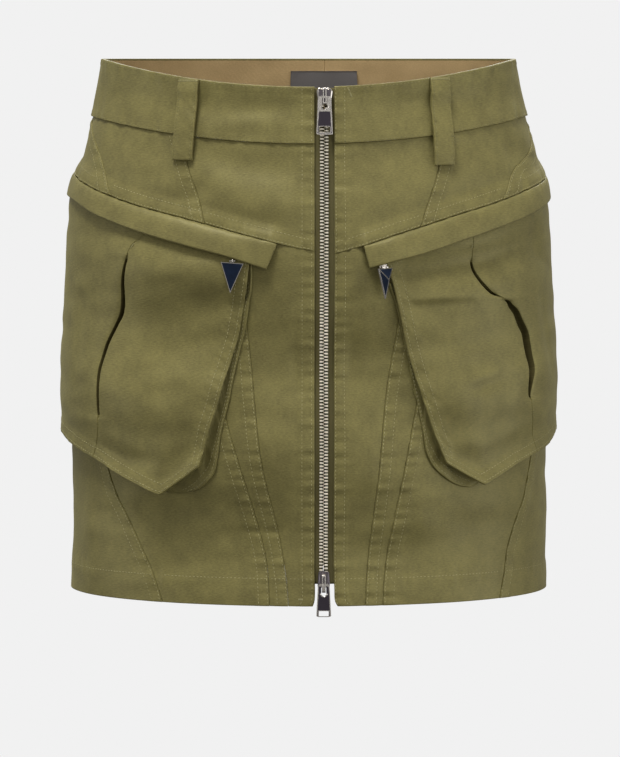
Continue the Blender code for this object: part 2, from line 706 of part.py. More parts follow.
def make_zip_pull(which, place, metal):
    """Tapered plate, its bar held in the slider's bail."""
    upper_width, lower_width, length = PULLS[which]
    outline = bpy.data.curves.new(f"zip_pull_{which}", "CURVE")
    outline.dimensions = "2D"
    outline.fill_mode = "BOTH"
    outline.extrude = PULL_PLATE / 2
    top = PULL_BAR / 2
    corner = PULL_CORNER
    rim = ((-upper_width / 2 + corner, top), (-upper_width / 2, top - corner),
           (-lower_width / 2, top - length + corner), (-lower_width / 2 + corner, top - length),
           (lower_width / 2 - corner, top - length), (lower_width / 2, top - length + corner),
           (upper_width / 2, top - corner), (upper_width / 2 - corner, top))
    half = PULL_WINDOW_WIDTH / 2
    window = ((-half, -top), (-half, -top - PULL_WINDOW), (half, -top - PULL_WINDOW), (half, -top))
    for points in (rim, window):
        spline = outline.splines.new("POLY")
        spline.points.add(len(points) - 1)
        for point, (across, along) in zip(spline.points, points):
            point.co = (across, along, 0, 1)
        spline.use_cyclic_u = True
    flat = bpy.data.objects.new(f"zip_pull_{which}_outline", outline)
    bpy.context.scene.collection.objects.link(flat)
    bpy.context.view_layer.update()
    plate = bpy.data.meshes.new_from_object(flat.evaluated_get(
        bpy.context.evaluated_depsgraph_get()))
    bpy.data.objects.remove(flat)
    shape = bmesh.new()
    shape.from_mesh(plate)
    bmesh.ops.remove_doubles(shape, verts=shape.verts[:], dist=MERGE)
    bmesh.ops.rotate(shape, verts=shape.verts[:], cent=(0, 0, 0),
                     matrix=Matrix.Rotation(pi / 2, 3, "X"))
    shape.to_mesh(plate)
    shape.free()
    plate.name = f"zip_pull_{which}"
    pull = keep(f"zip_pull_{which}", plate, metal, smooth=False)
    pull.matrix_world = place


# ---------------------------------------------------------------- pocket pulls

def pocket_pull_frame(side):
    """Hinge of a pocket pull: X along the flap, -Y straight out of the skirt."""
    angle, height, out, _, _ = POCKET_PULLS[side]
    here = on_form(angle, height, out)
    outwards = (on_form(angle, height, out + 0.01) - here).normalized()
    up = Vector((0, 0, 1))
    turn = Matrix((up.cross(outwards), -outwards, up)).transposed()
    return Matrix.Translation(here) @ turn.to_4x4()


def make_pocket_pull(side, metal, enamel):
    """A staple under the flap, and the three-cornered pull whose ring hangs on it."""
    place = pocket_pull_frame(side)
    _, _, out, turn, staple_out = POCKET_PULLS[side]
    base = out - staple_out
    below, above = STAPLE_REACH
    plate = box_mesh(f"pocket_staple_{side}", (-STAPLE_PLATE_HALF, base, below),
                     (STAPLE_PLATE_HALF, base + STAPLE_PLATE, above), STAPLE_BEVEL)
    staple = keep(f"pocket_staple_{side}", plate, metal)
    staple.matrix_world = place
    wire = RING_WIRE
    thick = wire * 1.1                         # the posts run a little past the bar
    bar = box_mesh(f"bar_{side}", (-STAPLE_HALF, -wire, -wire), (STAPLE_HALF, wire, wire))
    join(staple, bar, f"bar_{side}")
    for end in (-1, 1):
        at = end * STAPLE_HALF
        post = box_mesh(f"post_{side}_{end}", (at - wire, -thick, -thick),
                        (at + wire, base + STAPLE_PLATE / 2, thick))
        join(staple, post, f"post_{side}_{end}")

    triangle = bmesh.new()
    bmesh.ops.create_cone(triangle, segments=3, cap_ends=True, radius1=0.01, radius2=0.01,
                          depth=PULL_RIM)
    top = -RING_RADIUS - RING_WIRE * 0.4
    corners = sorted({(round(v.co.x, 6), round(v.co.y, 6)) for v in triangle.verts})
    targets = triangle_corners(corners, top)
    for vertex in triangle.verts:
        across, along = targets[(round(vertex.co.x, 6), round(vertex.co.y, 6))]
        vertex.co = Vector((across, -vertex.co.z, along))
    bmesh.ops.recalc_face_normals(triangle, faces=triangle.faces[:])
    back = max((f for f in triangle.faces if len(f.verts) == 3),
               key=lambda face: face.calc_center_median().y)
    apex = bmesh.ops.poke(triangle, faces=[back])["verts"][0]
    apex.co.y += PULL_APEX
    bmesh.ops.rotate(triangle, verts=triangle.verts[:], cent=(0, 0, 0),
                     matrix=Matrix.Rotation(radians(turn), 3, "Z"))
    mesh = bpy.data.meshes.new(f"pocket_pull_{side}")
    triangle.to_mesh(mesh)
    triangle.free()
    pull = keep(f"pocket_pull_{side}", mesh, enamel, smooth=False)
    pull.matrix_world = place
    join(pull, ring_mesh(f"ring_{side}", RING_RADIUS, RING_WIRE), f"ring_{side}")


def triangle_corners(corners, top):
    """Match the three corners of a cone's ring to the pull's: two above, the tip below."""
    by_height = sorted(corners, key=lambda corner: corner[1])
    tip = by_height[0] if by_height[1][1] - by_height[0][1] > 1e-4 else by_height[2]
    level = sorted(corner for corner in corners if corner != tip)
    return {tip: (0.0, top - PULL_TRIANGLE),
            level[0]: (-PULL_BASE_HALF, top),
            level[1]: (PULL_BASE_HALF, top)}


# ---------------------------------------------------------------- the skirt

def main():
    start_scene()
    twill = material("cotton_twill", CLOTH_COLOUR, 0.7)
    tape_cloth = material("zip_tape_weave", CLOTH_COLOUR, 0.8)
    metal = material("polished_nickel", METAL_COLOUR, 0.25, 1.0)
    enamel = material("navy_enamel", ENAMEL_COLOUR, 0.25)
    woven = material("woven_label", LABEL_COLOUR, 0.8)

    make_panels(twill)
    make_belt_loops(twill)
    make_label(woven)
    for side in ("right", "left"):
        make_pocket_face(side, twill)
        make_pocket_gusset(side, twill)
        make_pocket_flap(side, twill)
        make_pocket_pull(side, metal, enamel)
    make_zip_tapes_and_chain(tape_cloth, metal)
    for which in SLIDERS:
        make_zip_pull(which, make_zip_slider(which, metal), metal)


main()
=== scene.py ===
"""Looks of the cargo utility skirt: cloth, thread, zip, sliders, pulls, light and camera.

Metres, +Z up, front towards -Y, the wearer's left towards +X. A place on the cloth is an angle
round the waist in degrees (0 at the front, positive to the wearer's left), a height, and a
distance out from the worn form.
"""

from math import cos, pi, radians, sin

import bmesh
import bpy
import numpy as np
from mathutils import Matrix, Vector


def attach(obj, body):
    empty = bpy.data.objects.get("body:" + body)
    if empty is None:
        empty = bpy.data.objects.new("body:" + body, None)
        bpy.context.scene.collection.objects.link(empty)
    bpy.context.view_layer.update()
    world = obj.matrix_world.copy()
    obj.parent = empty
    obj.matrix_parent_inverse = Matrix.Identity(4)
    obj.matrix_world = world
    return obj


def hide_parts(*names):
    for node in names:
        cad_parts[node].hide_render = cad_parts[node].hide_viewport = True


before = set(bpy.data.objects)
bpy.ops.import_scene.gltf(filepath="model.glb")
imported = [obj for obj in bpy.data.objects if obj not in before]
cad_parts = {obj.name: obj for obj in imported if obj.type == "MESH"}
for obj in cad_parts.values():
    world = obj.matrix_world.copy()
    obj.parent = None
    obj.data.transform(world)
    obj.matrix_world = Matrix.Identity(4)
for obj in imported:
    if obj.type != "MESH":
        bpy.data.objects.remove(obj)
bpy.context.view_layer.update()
scene = bpy.context.scene

# ---- camera, stage and light

CAMERA_PLACE = (0.00091, -3.0, 0.0204)
CAMERA_DIP = 4.265            # degrees
LENS, SENSOR = 204.36, 36.0
PALE = (0.8796, 0.8796, 0.8796, 1)   # the even grey of backdrop and floor
FLOOR, FLOOR_SIZE = -0.95, 12.0      # the skirt is worn, so the floor is well below its hem
WORLD_BELOW, WORLD_ABOVE = 0.09, 0.46
WORLD_TINT = (1.0, 0.985, 0.96, 1)
# Place, height of the point on the axis that it faces, size, power.
LIGHTS = {
    "key": ((-0.65, -1.15, 3.0), -0.15, (1.0, 1.0), 84),
    "fill": ((1.7, -2.4, 0.2), -0.15, (1.5, 1.5), 11),
    "card": ((0.0, -3.5, 0.25), -0.15, (0.9, 0.8), 3.6),
    "left_side": ((-2.6, -0.6, -0.2), -0.15, (1.0, 1.6), 8),
    "right_side": ((2.6, -0.8, -0.5), -0.15, (1.0, 1.6), 15),
    "back": ((0.4, 2.6, 1.6), -0.1, (2.2, 2.0), 34),
}


def linear(code):
    """Linear colour of an sRGB hex value."""
    parts = [int(code[i:i + 2], 16) / 255 for i in (1, 3, 5)]
    return (*(c / 12.92 if c <= 0.04045 else ((c + 0.055) / 1.055) ** 2.4 for c in parts), 1)


def wire(tree, node, **inputs):
    """Fill a node's inputs: a socket or a node's first output joins one, a value is set."""
    for name, value in inputs.items():
        socket = node.inputs[int(name[1:]) if name[1:].isdigit() else name.replace("_", " ")]
        if isinstance(value, bpy.types.Node):
            value = value.outputs[0]
        if isinstance(value, bpy.types.NodeSocket):
            tree.links.new(value, socket)
        else:
            socket.default_value = value


def add_node(tree, kind, settings=None, **inputs):
    node = tree.nodes.new("ShaderNode" + kind)
    for name, value in (settings or {}).items():
        setattr(node, name, value)
    wire(tree, node, **inputs)
    return node


def make_camera():
    camera = bpy.data.objects.new("camera", bpy.data.cameras.new("camera"))
    camera.location = CAMERA_PLACE
    camera.rotation_euler = (radians(90 - CAMERA_DIP), 0, 0)
    camera.data.lens, camera.data.sensor_width = LENS, SENSOR
    scene.collection.objects.link(camera)
    scene.camera = camera
    scene.view_settings.view_transform = "Standard"


def make_world():
    """Soft light from all round, brighter above, behind an even pale backdrop."""
    scene.world = bpy.data.worlds.new("studio")
    scene.world.use_nodes = True
    tree = scene.world.node_tree
    tree.nodes.clear()
    place = add_node(tree, "TexCoord").outputs["Generated"]
    height = add_node(tree, "SeparateXYZ", Vector=place).outputs["Z"]
    level = add_node(tree, "MapRange", Value=height, From_Min=-1.0, From_Max=1.0,
                     To_Min=WORLD_BELOW, To_Max=WORLD_ABOVE)
    light = add_node(tree, "Background", Strength=level, Color=WORLD_TINT)
    seen = add_node(tree, "Background", Color=PALE)
    ray = add_node(tree, "LightPath").outputs["Is Camera Ray"]
    add_node(tree, "OutputWorld", Surface=add_node(tree, "MixShader", Fac=ray, _1=light,
                                                   _2=seen))


def make_lights():
    for name, (place, aim, size, power) in LIGHTS.items():
        lamp = bpy.data.objects.new(name, bpy.data.lights.new(name, "AREA"))
        lamp.data.shape = "RECTANGLE"
        lamp.data.size, lamp.data.size_y = size
        lamp.data.energy = power
        lamp.location = place
        lamp.rotation_euler = (Vector((0, 0, aim)) - Vector(place)).to_track_quat(
            "-Z", "Y").to_euler()
        scene.collection.objects.link(lamp)


# ---- the worn form

MM = 0.001
SIDES = {"right": -1, "left": 1}     # the wearer's sides and which way their angles run
ANGLE_HEIGHT, HEIGHT_ANGLE = (1, MM), (MM, 1)
WAIST_TOP, WAIST_DIP = 0.0200, 0.0187
BAND_SEAM, BAND_SEAM_DIP = -0.0195, 0.0176
HEM = -0.3490
HEM_ROW = 0.0185              # the hem's row of thread above its edge
CLOTH, BAND_CLOTH = 0.0015, 0.0022
BAND_PROUD = 0.0008
BACK_SEAM, BAND_SIDE_SEAM, POCKET_REAR = 175.4, 91.0, 106.0


def table(units, *numbers):
    """Rows of numbers, each column in its own unit."""
    return np.reshape(numbers, (-1, len(units))) * units


# Height, half width, depth of the front half, depth of the back half.
RINGS = table(
    (MM,) * 4,
    20, 143, 96, 101, 0, 147, 99, 104, -21, 151.5, 102, 108, -44, 158, 106, 113,
    -66, 162.8, 109, 118, -100, 163.8, 112, 123, -140, 164.5, 114, 126, -180, 165, 115, 126,
    -220, 165.3, 116, 124, -252, 165.5, 116, 122, -290, 165.3, 116, 120, -325, 166, 117, 119,
    -355, 167, 118, 119)

# Seams that run round the form: angle, height.
YOKE_SEAM = {
    "right": table(ANGLE_HEIGHT,
        -184.6, -73, -150, -66, -120, -60, -95, -58, -78, -62, -61, -69.8, -45, -79.2,
        -29, -88.2, -13, -99.4, -2.6, -107, 1.6, -109.2),
    "left": table(ANGLE_HEIGHT,
        5.6, -110.9, 10, -107.7, 20.6, -98.3, 30, -90.8, 39, -84.1, 51.6, -76.9, 64.6, -69.8,
        75, -65.5, 95, -60, 120, -60.5, 150, -66.5, 175.4, -73),
}

# Seams that run down the form: height, angle.
SLANT_SEAM = {
    "right": table(HEIGHT_ANGLE,
        -30, -34.8, -50, -31, -70, -27.5, -84, -25.6, -95, -24.4),
    "left": table(HEIGHT_ANGLE,
        -30, 37, -54, 33.1, -68, 30.7, -83, 28.4, -100, 26),
}
YOKE_SIDE_SEAM = {
    "right": table(HEIGHT_ANGLE,
        -17, -90, -29, -77.7, -42, -67.5, -56, -60.3, -76, -53.6),
    "left": table(HEIGHT_ANGLE,
        -20, 93, -38, 80, -47, 72, -56, 61.4, -77, 52.9),
}
INNER_SEAM = {
    "right": table(HEIGHT_ANGLE,
        -100, -18, -160, -14.8, -220, -12.3, -262, -10.2, -305, -6.8, -335, -5.1, -350, -4.7),
    "left": table(HEIGHT_ANGLE,
        -100, 25, -170, 20.8, -208, 18.5, -252, 16.6, -291, 15.2, -331, 13.7, -350, 13.3),
}
OUTER_SEAM = {
    "right": table(HEIGHT_ANGLE,
        -90, -30, -160, -24.5, -222, -19.6, -250, -16.5, -294, -12.2, -322, -9.9, -350, -9.1),
    "left": table(HEIGHT_ANGLE,
        -90, 37, -160, 31, -213, 26.3, -264, 22.2, -301, 19.7, -336, 17.8, -350, 17.6),
}
SIDE_FRONT_SEAM = {
    "right": table(HEIGHT_ANGLE,
        -60, -84, -180, -70, -267, -54.9, -300, -46.6, -330, -39.8, -350, -36.6),
    "left": table(HEIGHT_ANGLE,
        -60, 86, -180, 78, -257, 67.6, -290, 61.2, -317, 55.6, -332, 53.7, -350, 51.7),
}

# Zip opening: height, then the sideways place of its wearer's-right and left cloth edges.
ZIP_EDGES = table(
    (MM,) * 3,
    20, 4, 17.2, -110, 4.1, 17.4, -320, 4, 17, -338, 4.4, 17.4,
    -345.5, 4, 17.8, -350, 2.4, 20.2)
ZIP_CENTRE_TOP, ZIP_CENTRE_BOTTOM = 0.0106, 0.0100


def spans(at, place):
    """The row below each place, the span to the next row, and the share of it passed."""
    i = np.clip(np.searchsorted(at, place, side="right") - 1, 0, len(at) - 2)
    span = at[i + 1] - at[i]
    return i, span, np.clip((place - at[i]) / span, 0, 1)


def slopes(at, value):
    """Slope at each row, from the rows on both sides of it."""
    order = np.arange(len(at))
    before, after = np.maximum(order - 1, 0), np.minimum(order + 1, len(at) - 1)
    return ((value[after] - value[before]).T / (at[after] - at[before])).T


def ease(span, t, low, high, slope_low, slope_high):
    """From one value to the next, with the slope given at both."""
    return (low + (high - low) * t * t * (3 - 2 * t)
            + span * t * (1 - t) * (slope_low * (1 - t) - slope_high * t))


def curve(rows, column=1):
    """A smooth function of many places at once, through a table's first and another column."""
    rows = rows[np.argsort(rows[:, 0])]
    at, value = rows[:, 0], rows[:, column]
    slope = slopes(at, value)

    def read(place):
        i, span, t = spans(at, place)
        return (ease(span, t, value[i], value[i + 1], slope[i], slope[i + 1])
                + np.minimum(place - at[0], 0) * slope[0]
                + np.maximum(place - at[-1], 0) * slope[-1])
    return read


def level(rows):
    """As curve, with straight stretches."""
    rows = rows[np.argsort(rows[:, 0])]
    return lambda at: np.interp(at, rows[:, 0], rows[:, 1])


half_width, front_depth, back_depth = (curve(RINGS, column) for column in (1, 2, 3))


def form_at(angle, height):
    """Angle in radians, half width and depth of the form at a place."""
    turn = np.radians(angle)
    depth = np.where(np.cos(turn) > 0, front_depth(height), back_depth(height))
    return turn, half_width(height), depth


def on_form(angle, height, out=0.0):
    """Points at angles and heights, moved straight out of the form."""
    angle, height, out = np.broadcast_arrays(angle, height, out)
    turn, width, depth = form_at(angle, height)
    east, south = np.sin(turn) / width, -np.cos(turn) / depth
    size = np.hypot(east, south)
    return np.stack([width * np.sin(turn) + out * east / size,
                     -depth * np.cos(turn) + out * south / size, height + 0 * turn], axis=-1)


def metres_per_degree(angle, height):
    turn, width, depth = form_at(angle, height)
    return np.hypot(width * np.cos(turn), depth * np.sin(turn)) * pi / 180


def angle_of_width(sideways, height):
    return np.degrees(np.arcsin(sideways / half_width(height)))


def dipped(height, dip):
    """A line round the form that lies lower at the front."""
    return lambda angle: height - dip * np.maximum(np.cos(np.radians(angle)), 0) ** 2


def at_angle(angle):
    return lambda height: angle + 0.0 * height


waist_top, band_seam = dipped(WAIST_TOP, WAIST_DIP), dipped(BAND_SEAM, BAND_SEAM_DIP)
hem = dipped(HEM, 0.0)


def zip_edge(side):
    edge = curve(ZIP_EDGES, 1 if side == "right" else 2)
    return lambda height: angle_of_width(edge(height), height)


def zip_centre(height):
    share = (WAIST_TOP - height) / (WAIST_TOP - HEM)
    return ZIP_CENTRE_TOP + (ZIP_CENTRE_BOTTOM - ZIP_CENTRE_TOP) * share


# ---- materials

def start_material(name):
    made = bpy.data.materials.new(name)
    made.use_nodes = True
    return made, made.node_tree, made.node_tree.nodes["Principled BSDF"]


def between(tree, share, low, high):
    """A colour between two others."""
    return add_node(tree, "Mix", {"data_type": "RGBA"}, _0=share, _6=linear(low),
                    _7=linear(high)).outputs[2]


def noise(tree, scale, place=None, **more):
    if place is None:
        place = add_node(tree, "TexCoord").outputs["Object"]
    return add_node(tree, "TexNoise", Vector=place, Scale=scale, **more)


def mapping(tree, place, **more):
    return add_node(tree, "Mapping", Vector=place, **more)


def bands(tree, place, direction, **more):
    return add_node(tree, "TexWave", {"wave_type": "BANDS", "bands_direction": direction},
                    Vector=place, **more).outputs["Fac"]


def twill(name, colour, deep, sheen=0.25, roughness=0.62, gloss=0.5):
    """Cotton satin gabardine: slubs run along the weft, and the floats between them give a soft
    bloom where the cloth turns to the light. Threads lie 0.45 mm apart, finer than the render can
    show, so slubs are drawn 0.8 mm apart and 2 mm long, and the steep twill at 1.2 mm."""
    made, tree, shader = start_material(name)
    cloth = add_node(tree, "UVMap", {"uv_map": "cloth"})
    steep = mapping(tree, cloth, Rotation=(0, 0, radians(63)), Scale=(830, 830, 830))
    wale = bands(tree, steep, "X", Scale=0.16, Distortion=2.5, Detail=2.0, Detail_Scale=2.0)
    slub = noise(tree, 1.0, mapping(tree, cloth, Scale=(520, 1250, 1)), Detail=3.0,
                 Roughness=0.65)
    cloud = add_node(tree, "Math", {"operation": "MULTIPLY"},
                     _0=noise(tree, 75.0, Detail=3.0, Roughness=0.6), _1=0.6)
    mixed = add_node(tree, "Math", {"operation": "MULTIPLY_ADD"}, _0=slub, _1=0.9, _2=cloud)
    tone = add_node(tree, "MapRange", Value=mixed, From_Min=0.5, From_Max=1.1, To_Min=0.0,
                    To_Max=1.0)
    relief = add_node(tree, "Math", {"operation": "MULTIPLY_ADD"}, _0=wale, _1=0.28, _2=slub)
    wire(tree, shader, Base_Color=between(tree, tone, deep, colour), Roughness=roughness,
         Normal=add_node(tree, "Bump", Height=relief, Strength=0.45, Distance=0.00016),
         Sheen_Weight=sheen, Sheen_Roughness=0.4, Sheen_Tint=linear("#b9b070"),
         Specular_IOR_Level=gloss, Specular_Tint=linear("#efe6b4"))
    return made


def woven(name, colour, deep, pitch, roughness=0.7):
    """Close plain weave or ribbed tape; pitch is the real distance of its ribs in metres."""
    made, tree, shader = start_material(name)
    cloth = add_node(tree, "UVMap", {"uv_map": "cloth"})
    rib = bands(tree, mapping(tree, cloth, Scale=(1 / pitch, 1 / pitch, 1)), "Y", Scale=0.31,
                Distortion=0.6, Detail=1.0)
    wire(tree, shader, Base_Color=between(tree, rib, deep, colour), Roughness=roughness,
         Normal=add_node(tree, "Bump", Height=rib, Strength=0.4, Distance=0.0001),
         Sheen_Weight=0.06, Specular_IOR_Level=0.3)
    return made


def thread_material(name, dark, light):
    """Polyester core-spun topstitching thread, faintly glossy."""
    made, tree, shader = start_material(name)
    wire(tree, shader, Base_Color=between(tree, noise(tree, 900.0), dark, light), Roughness=0.5)
    return made


def plate(name, colour, roughness):
    """Polished nickel plate on die-cast zinc: bright, slightly warm, with fine rubbing marks."""
    made, tree, shader = start_material(name)
    place = add_node(tree, "TexCoord").outputs["Object"]
    marks = noise(tree, 1.0, mapping(tree, place, Scale=(900, 900, 260)), Detail=3.0)
    wire(tree, shader, Base_Color=linear(colour), Metallic=1.0,
         Roughness=add_node(tree, "MapRange", Value=marks, From_Min=0.3, From_Max=0.7,
                            To_Min=roughness - 0.05, To_Max=roughness + 0.07))
    return made


def enamel_material():
    """Fired navy enamel in a metal rim: deep colour under a glassy, faintly uneven face."""
    made, tree, shader = start_material("navy_fired_enamel")
    cloud = noise(tree, 420.0, Detail=2.0)
    wire(tree, shader, Base_Color=between(tree, cloud, "#0b1524", "#16263f"), Roughness=0.32,
         Normal=add_node(tree, "Bump", Height=cloud, Strength=0.1, Distance=0.00005),
         Specular_IOR_Level=0.25)
    return made


def paper_material():
    """Pale seamless paper, as even as the backdrop."""
    made, tree, shader = start_material("pale_seamless_paper")
    wire(tree, shader, Base_Color=(0, 0, 0, 1), Specular_IOR_Level=0.0, Emission_Color=PALE,
         Emission_Strength=1.0)
    return made


TWILL = twill("olive_cotton_gabardine", "#918954", "#6a633e", roughness=0.46)
TWILL_BACK = twill("olive_gabardine_wrong_side", "#7b7448", "#6c653d", sheen=0.1, roughness=0.75,
                   gloss=0.2)
FACING = twill("khaki_twill_facing", "#dcbe8c", "#c3a678", sheen=0.15, roughness=0.7, gloss=0.3)
# Darker cloth laid on the faces deep inside an open pleat: painted shade.
PLEAT_PAINTED_SHADE = twill("olive_gabardine_painted_pleat_shade", "#575030", "#423c22", sheen=0.02,
                     roughness=0.8, gloss=0.1)
# Darker tape under the chain: painted shadow of the teeth.
TAPE_PAINTED_SHADOW = woven("zip_tape_painted_shadow_of_teeth", "#3d3823", "#2e2a18", 0.0006)
TAPE = woven("olive_zip_tape", "#6b643c", "#58512f", 0.0006)
LABEL = woven("dark_damask_label", "#8a8684", "#6e6a6b", 0.0004, 0.42)
THREAD = thread_material("topstitch_thread", "#958e5c", "#b6af80")
THREAD_SELF = thread_material("self_coloured_thread", "#77703f", "#8d8656")
NICKEL = plate("polished_nickel_plate", "#d8d2ca", 0.2)
TEETH = plate("bright_zip_teeth", "#f8f1df", 0.4)
RECESS = plate("black_nickel_recess", "#4a444c", 0.36)
# Nickel painted darker: painted reflection of the dark surroundings, on the bottom slider and the
# top slider's sunk face.
NICKEL_PAINTED_DARK = plate("nickel_with_painted_dark_reflection", "#6f696d", 0.42)
ENAMEL = enamel_material()

# ---- cloth shells

EDGE_LINES = (0.0, 0.00015, 0.0004, 0.0008, 0.0013)   # grid lines close to an edge
LINES_APART = 4e-5
LENGTH_SHARE = 85             # percentile of a cut's lengths that counts as its length
shells = {}


def smooth_step(x):
    x = np.clip(x, 0, 1)
    return x * x * (3 - 2 * x)


def spaced(length, step, extra=()):
    """Shares from 0 to 1 along a length, close together at both ends and about extra places."""
    inner = np.linspace(EDGE_LINES[-1], length - EDGE_LINES[-1],
                        max(2, int((length - 2 * EDGE_LINES[-1]) / step) + 1))
    places = np.concatenate([EDGE_LINES, length - np.array(EDGE_LINES), inner, extra])
    places = np.unique(np.round(np.clip(places, 0, length), 6))
    return places[np.concatenate([[True], np.diff(places) > LINES_APART])] / length


def rounding(distance, radius):
    """How far a rolled edge falls back at a distance from it."""
    inside = np.clip(distance, 0, radius)
    return radius - np.sqrt(np.maximum(radius ** 2 - (radius - inside) ** 2, 0))


def unit(vectors):
    return vectors / np.maximum(np.linalg.norm(vectors, axis=-1, keepdims=True), 1e-12)


def bell(distance, width):
    return np.exp(-(distance / width) ** 2)


def make_mesh(name, points, quads, slots, materials, uv=None):
    """A mesh of faces that all have the same number of corners."""
    mesh = bpy.data.meshes.new(name)
    corners = np.ascontiguousarray(quads, dtype=np.int32).ravel()
    mesh.vertices.add(len(points))
    mesh.vertices.foreach_set("co", np.ascontiguousarray(points, dtype=np.float32).ravel())
    mesh.loops.add(len(corners))
    mesh.loops.foreach_set("vertex_index", corners)
    mesh.polygons.add(len(quads))
    mesh.polygons.foreach_set("loop_start", np.arange(len(quads), dtype=np.int32)
                              * quads.shape[1])
    if slots is not None:
        mesh.polygons.foreach_set("material_index", np.ascontiguousarray(slots, dtype=np.int32))
    for finish in materials:
        mesh.materials.append(finish)
    mesh.update(calc_edges=True)
    if uv is not None:
        mesh.uv_layers.new(name="cloth").data.foreach_set(
            "uv", np.ascontiguousarray(uv[corners], dtype=np.float32).ravel())
    mesh.shade_smooth()
    thing = bpy.data.objects.new(name, mesh)
    scene.collection.objects.link(thing)
    return thing


def enter(piece, nodes, body):
    """Enter a finished piece in the visual model."""
    if nodes:
        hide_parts(*nodes)
    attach(piece, body)


def shell(name, outer, inner, materials, uv, turned=0.0):
    """Closed wall between two grids of points, each (rows, columns, 3). The face cloth is turned
    over the upper edge by a distance."""
    rows, columns = outer.shape[:2]
    count = rows * columns
    index = np.arange(count).reshape(rows, columns)
    quad = np.stack([index[:-1, :-1], index[1:, :-1], index[1:, 1:], index[:-1, 1:]],
                    axis=-1).reshape(-1, 4)
    ring = np.concatenate([index[0, :], index[1:, -1], index[-1, -2::-1], index[-2:0:-1, 0]])
    following = np.roll(ring, -1)
    rim = np.stack([ring, following, following + count, ring + count], axis=-1)
    quads = np.concatenate([quad, quad[:, ::-1] + count, rim])
    below = np.linalg.norm(inner[1:, :-1] - inner[:1, :-1], axis=-1) > turned
    slots = np.concatenate([np.zeros(len(quad)), (len(materials) - 1) * below.reshape(-1),
                            np.zeros(len(rim))])
    points = np.concatenate([outer.reshape(-1, 3), inner.reshape(-1, 3)])
    r, c = rows // 2, columns // 2
    normal = np.cross(outer[r + 1, c] - outer[r, c], outer[r, c + 1] - outer[r, c])
    if np.dot(normal, outer[r, c] - inner[r, c]) < 0:
        quads = quads[:, ::-1]
    flat = uv.reshape(-1, 2)
    piece = make_mesh(f"cloth_{name}", points, quads, slots, materials,
                      np.concatenate([flat, flat]))
    enter(piece, [name], "skirt")
    width = np.linalg.norm(np.diff(outer, axis=1), axis=-1).sum(axis=1)
    length = np.linalg.norm(np.diff(outer, axis=0), axis=-1).sum(axis=0)
    area = 0.5 * np.linalg.norm(np.cross(outer[1:, 1:] - outer[:-1, :-1],
                                         outer[1:, :-1] - outer[:-1, 1:]), axis=-1).sum()
    shells[name] = (piece, float(width.max()), float(np.percentile(length, LENGTH_SHARE)),
                    float(area))


def paint_outer(name, mask, slot):
    """Give the outer faces of a shell a material where a mask over its grid is set."""
    chosen = (mask[:-1, :-1] & mask[1:, :-1] & mask[1:, 1:] & mask[:-1, 1:]).reshape(-1)
    mesh = shells[name][0].data
    slots = np.zeros(len(mesh.polygons), dtype=np.int32)
    mesh.polygons.foreach_get("material_index", slots)
    slots[:len(chosen)][chosen] = slot
    mesh.polygons.foreach_set("material_index", slots)


# ---- thread

STITCH_PITCH, STITCH_LENGTH, STITCH_RADIUS = 0.0026, 0.0019, 0.00022
STITCH_SIDES = 5
# Along the stitch, thickness and lift of each ring of points.
STITCH_RINGS = ((-1.0, 0.35, -0.9), (-0.5, 1.0, 0.35), (0.5, 1.0, 0.35), (1.0, 0.35, -0.9))
BAR_PITCH, BAR_SIZE = 0.0009, 0.75
STITCH_FLAT = 0.8             # height of a stitch to its width
SELF_COLOURED = ("band", "loops")
rows_of_thread = {}


def stitch_template():
    """One stitch along X, its ends drawn into the cloth."""
    rings, faces = [], []
    for along, thick, lift in STITCH_RINGS:
        for k in range(STITCH_SIDES):
            turn = 2 * pi * k / STITCH_SIDES
            rings.append((along * STITCH_LENGTH / 2, STITCH_RADIUS * thick * cos(turn),
                          STITCH_RADIUS * (thick * sin(turn) * STITCH_FLAT + lift)))
    for ring in range(len(STITCH_RINGS) - 1):
        for k in range(STITCH_SIDES):
            a, b = ring * STITCH_SIDES + k, ring * STITCH_SIDES + (k + 1) % STITCH_SIDES
            faces.append((a, a + STITCH_SIDES, b + STITCH_SIDES, b))
    return np.array(rings), np.array(faces)


def sew(group, path, normal, pitch=STITCH_PITCH, size=1.0):
    """Lay stitches along a line of points on the cloth's face."""
    path, normal = np.asarray(path), np.asarray(normal)
    at = np.concatenate([[0], np.cumsum(np.linalg.norm(np.diff(path, axis=0), axis=1))])
    count = int(at[-1] / pitch)
    if count < 1:
        return
    middle = (np.arange(count) + 0.5) * at[-1] / count
    reach = STITCH_LENGTH * size / 2

    def along(values, where):
        return np.stack([np.interp(where, at, values[:, k]) for k in range(3)], axis=-1)
    tangent = unit(along(path, np.minimum(middle + reach, at[-1]))
                   - along(path, np.maximum(middle - reach, 0)))
    side = unit(np.cross(along(normal, middle), tangent))
    rows_of_thread.setdefault(group, []).append(
        (along(path, middle), (tangent, side, np.cross(tangent, side)), size))


def sew_bar(path, normal, pitch=BAR_PITCH):
    sew("bartacks", path, normal, pitch, BAR_SIZE)


def make_copies(name, rows, finish):
    """One mesh of many small shapes. A row gives a shape's points and faces, and the middle,
    the three axes and the size of its copies."""
    points, faces, count = [], [], 0
    for shape, corners, centre, axes, size in rows:
        here = centre[:, None] + size * sum(shape[None, :, k:k + 1] * axes[k][:, None]
                                            for k in range(3))
        base = count + np.arange(len(centre))[:, None, None] * len(shape)
        points.append(here.reshape(-1, 3))
        faces.append((base + corners[None]).reshape(-1, corners.shape[1]))
        count += len(centre) * len(shape)
    return make_mesh(name, np.concatenate(points), np.concatenate(faces), None, [finish])


def close_and_turn(mesh, sides=0):
    """Fill a mesh's small holes and turn its faces outwards."""
    net = bmesh.new()
    net.from_mesh(mesh)
    if sides:
        bmesh.ops.holes_fill(net, edges=[e for e in net.edges if e.is_boundary], sides=sides)
    bmesh.ops.recalc_face_normals(net, faces=net.faces[:])
    net.to_mesh(mesh)
    net.free()


